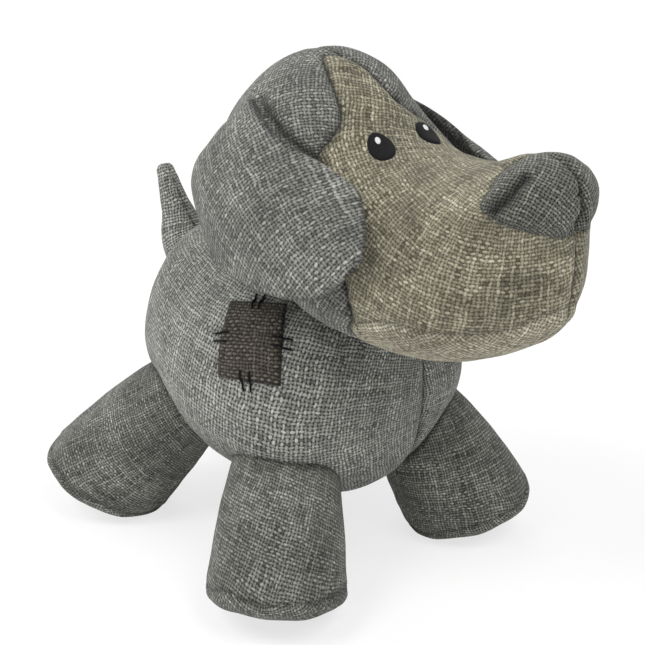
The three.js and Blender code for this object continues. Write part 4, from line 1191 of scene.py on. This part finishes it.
def tail_pieces():
    """The short tail in two panels, sewn into the rump by its wide end."""
    taper = np.linspace(0, 1, TAIL_ROWS)[:-1]
    tip = np.linspace(0, math.pi / 2, TAIL_TIP_ROWS)
    path = curve(TAIL_PATH, np.concatenate([taper, np.ones_like(tip)]))
    end = unit(TAIL_PATH[-1] - TAIL_PATH[-2])
    path[len(taper):] += np.outer(TAIL_TIP_RADIUS * np.sin(tip), end)
    ways = np.gradient(path, axis=0)
    ways[len(taper) - 1:] = end
    ways = unit(ways)
    radius = np.concatenate([curve(TAIL_RADII, taper)[:, 0], TAIL_TIP_RADIUS * np.cos(tip)])
    turn, radii, lengths, _, faces = revolved(radius, along_path(path), TAIL_COLUMNS)
    across = np.cross([0, 1, 0], np.repeat(ways, TAIL_COLUMNS + 1, axis=0))
    spread = np.outer(radii * np.sin(turn), [0, 1, 0]) + across * (radii * np.cos(turn))[:, None]
    points = np.repeat(path, TAIL_COLUMNS + 1, axis=0) + spread
    normals, faces = facing_out(points, faces, spread)
    form = np.column_stack([points, normals, points[:, 1] - TAIL_PATH[0][1], lengths, radii * np.cos(turn)])
    inner = {"right": ["tail_stuffing"], "left": []}
    for side, name in SIDES:
        rows, kept = cut_out(form, faces.tolist(), (FIELDS, side > 0))
        points = rows[:, POINT]
        sideways, along, upwards = rows[:, FIELDS:].T
        seam = np.abs(sideways)
        height, size = TAIL_LUMPS
        relief = height * lumps(points, size, SEEDS["tail"])
        relief += seam_relief(points, seam, SEEDS["tail_seam"], SOFT_SEAM_DEPTH)
        gap = np.maximum(clearance(BODY, points), 0)
        # line: painted shade in the tail's seam and where it meets the rump
        line = np.maximum(painted_seam_shade(seam, "tail"), painted_seam_shade(gap, "tail_root"))
        points = points + rows[:, NORMAL] * relief[:, None]
        piece = mesh_piece(f"tail_cover_{name}", points, kept, line, "body_linen", TAIL_WALL)
        weave_along(piece, np.hypot(seam, upwards) * np.arctan2(upwards, seam), along)
        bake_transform(piece)
        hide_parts(f"tail_panel_{name}", *inner[name])


def flank_depth(x, z):
    """The right flank's Y over a place seen from the side."""
    _, half, middle, above, below = section_at(BODY, x)
    height = z - middle
    reach = np.where(height > 0, above, below)
    return -half * np.sqrt(np.maximum(1 - (height / reach) ** 2, 0))


def on_flank(points):
    """Points near the right flank moved onto it, and the normals there."""
    for _ in range(FLANK_ROUNDS):
        x, _, z = points.T
        slope_x, slope_z = slopes(flank_depth, x, z)
        normals = unit(np.column_stack([slope_x, np.full(len(x), -1.0), slope_z]))
        surface_points = np.column_stack([x, flank_depth(x, z), z])
        points = points + normals * ((surface_points - points) * normals).sum(1)[:, None]
    return points, normals


def tube(name, path, radius):
    """A thread along a path, with rounded ends."""
    ways = unit(np.gradient(path, axis=0))
    out = unit(np.cross(ways, path - path.mean(0) + THREAD_ASIDE))
    across = np.cross(ways, out)
    ends = np.clip(1 - np.linspace(-1, 1, len(path)) ** THREAD_BLUNT, THREAD_END, 1)
    angle = 2 * math.pi * np.arange(THREAD_SIDES) / THREAD_SIDES
    ring = out[:, None] * np.cos(angle)[None, :, None] + across[:, None] * np.sin(angle)[None, :, None]
    points = (path[:, None] + ring * (radius * np.sqrt(ends))[:, None, None]).reshape(-1, 3)
    last = len(points) - THREAD_SIDES
    faces = ring_faces(len(path), THREAD_SIDES).tolist()
    faces += [list(range(THREAD_SIDES))[::-1], list(range(last, len(points)))]
    piece = mesh_piece(name, points, faces, 0, "black_thread", 0)
    along = np.repeat(np.arange(len(path)), THREAD_SIDES) * THREAD_STEP
    weave_along(piece, along, np.tile(angle * radius, len(path)) + THREAD_TWIST * along)
    return piece


def patch_pieces():
    """The flank patch with turned-in edges, and a pair of hand stitches over the middle of each edge."""
    x, z = np.array(PATCH_CORNERS, float).T
    top_rear, top_front, low_front, low_rear = np.column_stack([x, flank_depth(x, z), z])
    width = np.linalg.norm(top_front - top_rear + low_front - low_rear) / 2
    height = np.linalg.norm(top_rear - low_rear + top_front - low_front) / 2

    def inside(x, y):
        return np.minimum(width / 2 - np.abs(x), height / 2 - np.abs(y))

    def place(x, y, rise):
        across = (x / width + 0.5)[:, None]
        up = (y / height + 0.5)[:, None]
        top = top_rear + (top_front - top_rear) * across
        low = low_rear + (low_front - low_rear) * across
        points, normals = on_flank(low + (top - low) * up)
        return points + normals * (stuffed_relief(points, SEEDS["body"]) + rise)[:, None]

    x, y = np.meshgrid(-0.5 * width * np.cos(np.linspace(0, math.pi, PATCH_COLUMNS + 1)),
                       -0.5 * height * np.cos(np.linspace(0, math.pi, PATCH_ROWS + 1)))
    faces = quads(np.arange(x.size).reshape(x.shape), turned=True).tolist()
    x, y = x.ravel(), y.ravel()
    edge = inside(x, y)
    rim = np.sqrt(1 - (1 - np.clip(edge / PATCH_EDGE, 0, 1)) ** 2)
    points = place(x, y, PATCH_SEAT - PATCH_SINK + (PATCH_THICKNESS + PATCH_SINK) * rim)
    # Painted shade along the patch's rounded edge where it meets the flank
    shade = np.exp(-edge / PATCH_EDGE_PAINTED_SHADE)
    patch = mesh_piece("flank_patch_cloth", points, faces, shade, "patch_cloth", PATCH_WALL)
    weave_along(patch, x, y)
    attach(patch, "torso")
    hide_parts("flank_patch")

    share = np.linspace(-0.5, 0.5, STITCH_POINTS)
    along = share * STITCH_LENGTH
    hump = 1 - (2 * share) ** 6
    stitches = [(*edge, way) for edge in STITCH_EDGES for way in (-1, 1)]
    for number, (side_x, side_y, way) in enumerate(stitches, 1):
        spread = way * STITCH_SPACING / 2 + STITCH_SPLAY * way * share
        x = side_x * width / 2 + (along if side_x else spread)
        y = side_y * height / 2 + (along if side_y else spread)
        rise = (PATCH_SEAT + PATCH_THICKNESS) * smooth(-STITCH_STEP, STITCH_STEP, inside(x, y))
        rise += STITCH_HUMP * hump + STITCH_RADIUS * (hump - STITCH_SINK)
        stitch = tube(f"patch_thread_{number}", place(x, y, rise), STITCH_RADIUS)
        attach(stitch, "torso")
        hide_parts(f"patch_stitch_{number}")


def squeaker():
    """The plastic squeaker inside, with a thin bellows wall."""
    for name, node in frame["nodes"].items():
        if name.startswith("squeaker"):
            node.data.materials.clear()
            node.data.materials.append(LOOKS["squeaker_plastic"])
    low, high = (np.array(corner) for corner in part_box("squeaker_bellows"))
    middle, size = (low + high) / 2, high - low
    angles = 2 * math.pi * np.arange(BELLOWS_COLUMNS) / BELLOWS_COLUMNS
    share, angle = np.meshgrid(np.linspace(0, 1, BELLOWS_RINGS), angles, indexing="ij")
    radius = size[0] / 2 / MM - BELLOWS_BULGE * (1 - np.sin(math.pi * share))
    points = np.stack([radius * np.cos(angle), radius * np.sin(angle), size[2] / MM * (share - 0.5)], -1)
    points = points.reshape(-1, 3) + middle / MM - SHIFT
    faces = ring_faces(*share.shape).tolist()
    wall = mesh_piece("squeaker_wall", points, faces, 0, "squeaker_plastic", BELLOWS_WALL)
    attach(wall, "torso")
    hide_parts("squeaker_bellows")
    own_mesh(wall)


def stage():
    """A pale floor with the toy's shadow, a white surround and soft studio light."""
    world = bpy.data.worlds.new("studio")
    bpy.context.scene.world = world
    make, calc = node_tree(world)
    rays = make("LightPath").outputs
    seen = calc("MAXIMUM", rays["Is Camera Ray"],
                calc("MAXIMUM", rays["Is Glossy Ray"], rays["Is Transmission Ray"]))
    ambient = make("Background", None, WHITE, AMBIENT)
    white = make("Background", None, WHITE, 1.0)
    mixed = make("MixShader", None, seen, ambient.outputs[0], white.outputs[0])
    make("OutputWorld", None, mixed.outputs[0])

    material = bpy.data.materials.new("floor_white")
    make, calc = node_tree(material)
    paper = make("BsdfDiffuse", None, FLOOR_COLOUR)
    glow = make("Emission", None, WHITE, 1.0)
    spot = make("VectorMath", {"operation": "LENGTH"}, make("NewGeometry").outputs["Position"])
    far = make("MapRange", {"interpolation_type": "SMOOTHSTEP"}, spot.outputs["Value"], *FLOOR_FADE)
    share = calc("MULTIPLY", make("LightPath").outputs["Is Camera Ray"], far.outputs[0])
    mixed = make("MixShader", None, share, paper.outputs[0], glow.outputs[0])
    make("OutputMaterial", None, mixed.outputs[0])
    mesh = bpy.data.meshes.new("floor")
    corners = [(x * FLOOR_REACH, y * FLOOR_REACH, 0) for x, y in ((-1, -1), (1, -1), (1, 1), (-1, 1))]
    mesh.from_pydata(corners, [], [(0, 1, 2, 3)])
    mesh.materials.append(material)
    new_object("floor", mesh)

    for name, (place, size, power) in LIGHTS.items():
        lamp = bpy.data.lights.new(name, "AREA")
        lamp.size = size
        lamp.energy = power
        light = new_object(name, lamp)
        light.location = place
        light.rotation_euler = (LIGHT_TARGET - light.location).to_track_quat("-Z", "Y").to_euler()


def camera():
    """A camera at the photograph's place."""
    level = math.cos(CAMERA_RISE)
    back = Vector((math.sin(CAMERA_TURN) * level, -math.cos(CAMERA_TURN) * level, math.sin(CAMERA_RISE)))
    lens = bpy.data.cameras.new("camera")
    lens.sensor_width = SENSOR
    lens.lens = FOCAL_PIXELS / PICTURE_PIXELS * SENSOR
    eye = new_object("camera", lens)
    eye.location = Vector((CAMERA_TARGET + SHIFT) * MM) + back * CAMERA_DISTANCE * MM
    eye.rotation_euler = back.to_track_quat("Z", "Y").to_euler()
    bpy.context.scene.camera = eye


camera()
stage()
body_panels()
head_panels()
eyes()
ears()
for number, leg in enumerate(LEGS):
    leg_pieces(leg, LEG_SEED + LEG_SEED_STEP * number)
tail_pieces()
patch_pieces()
squeaker()
bpy.context.scene.view_settings.view_transform = "Standard"
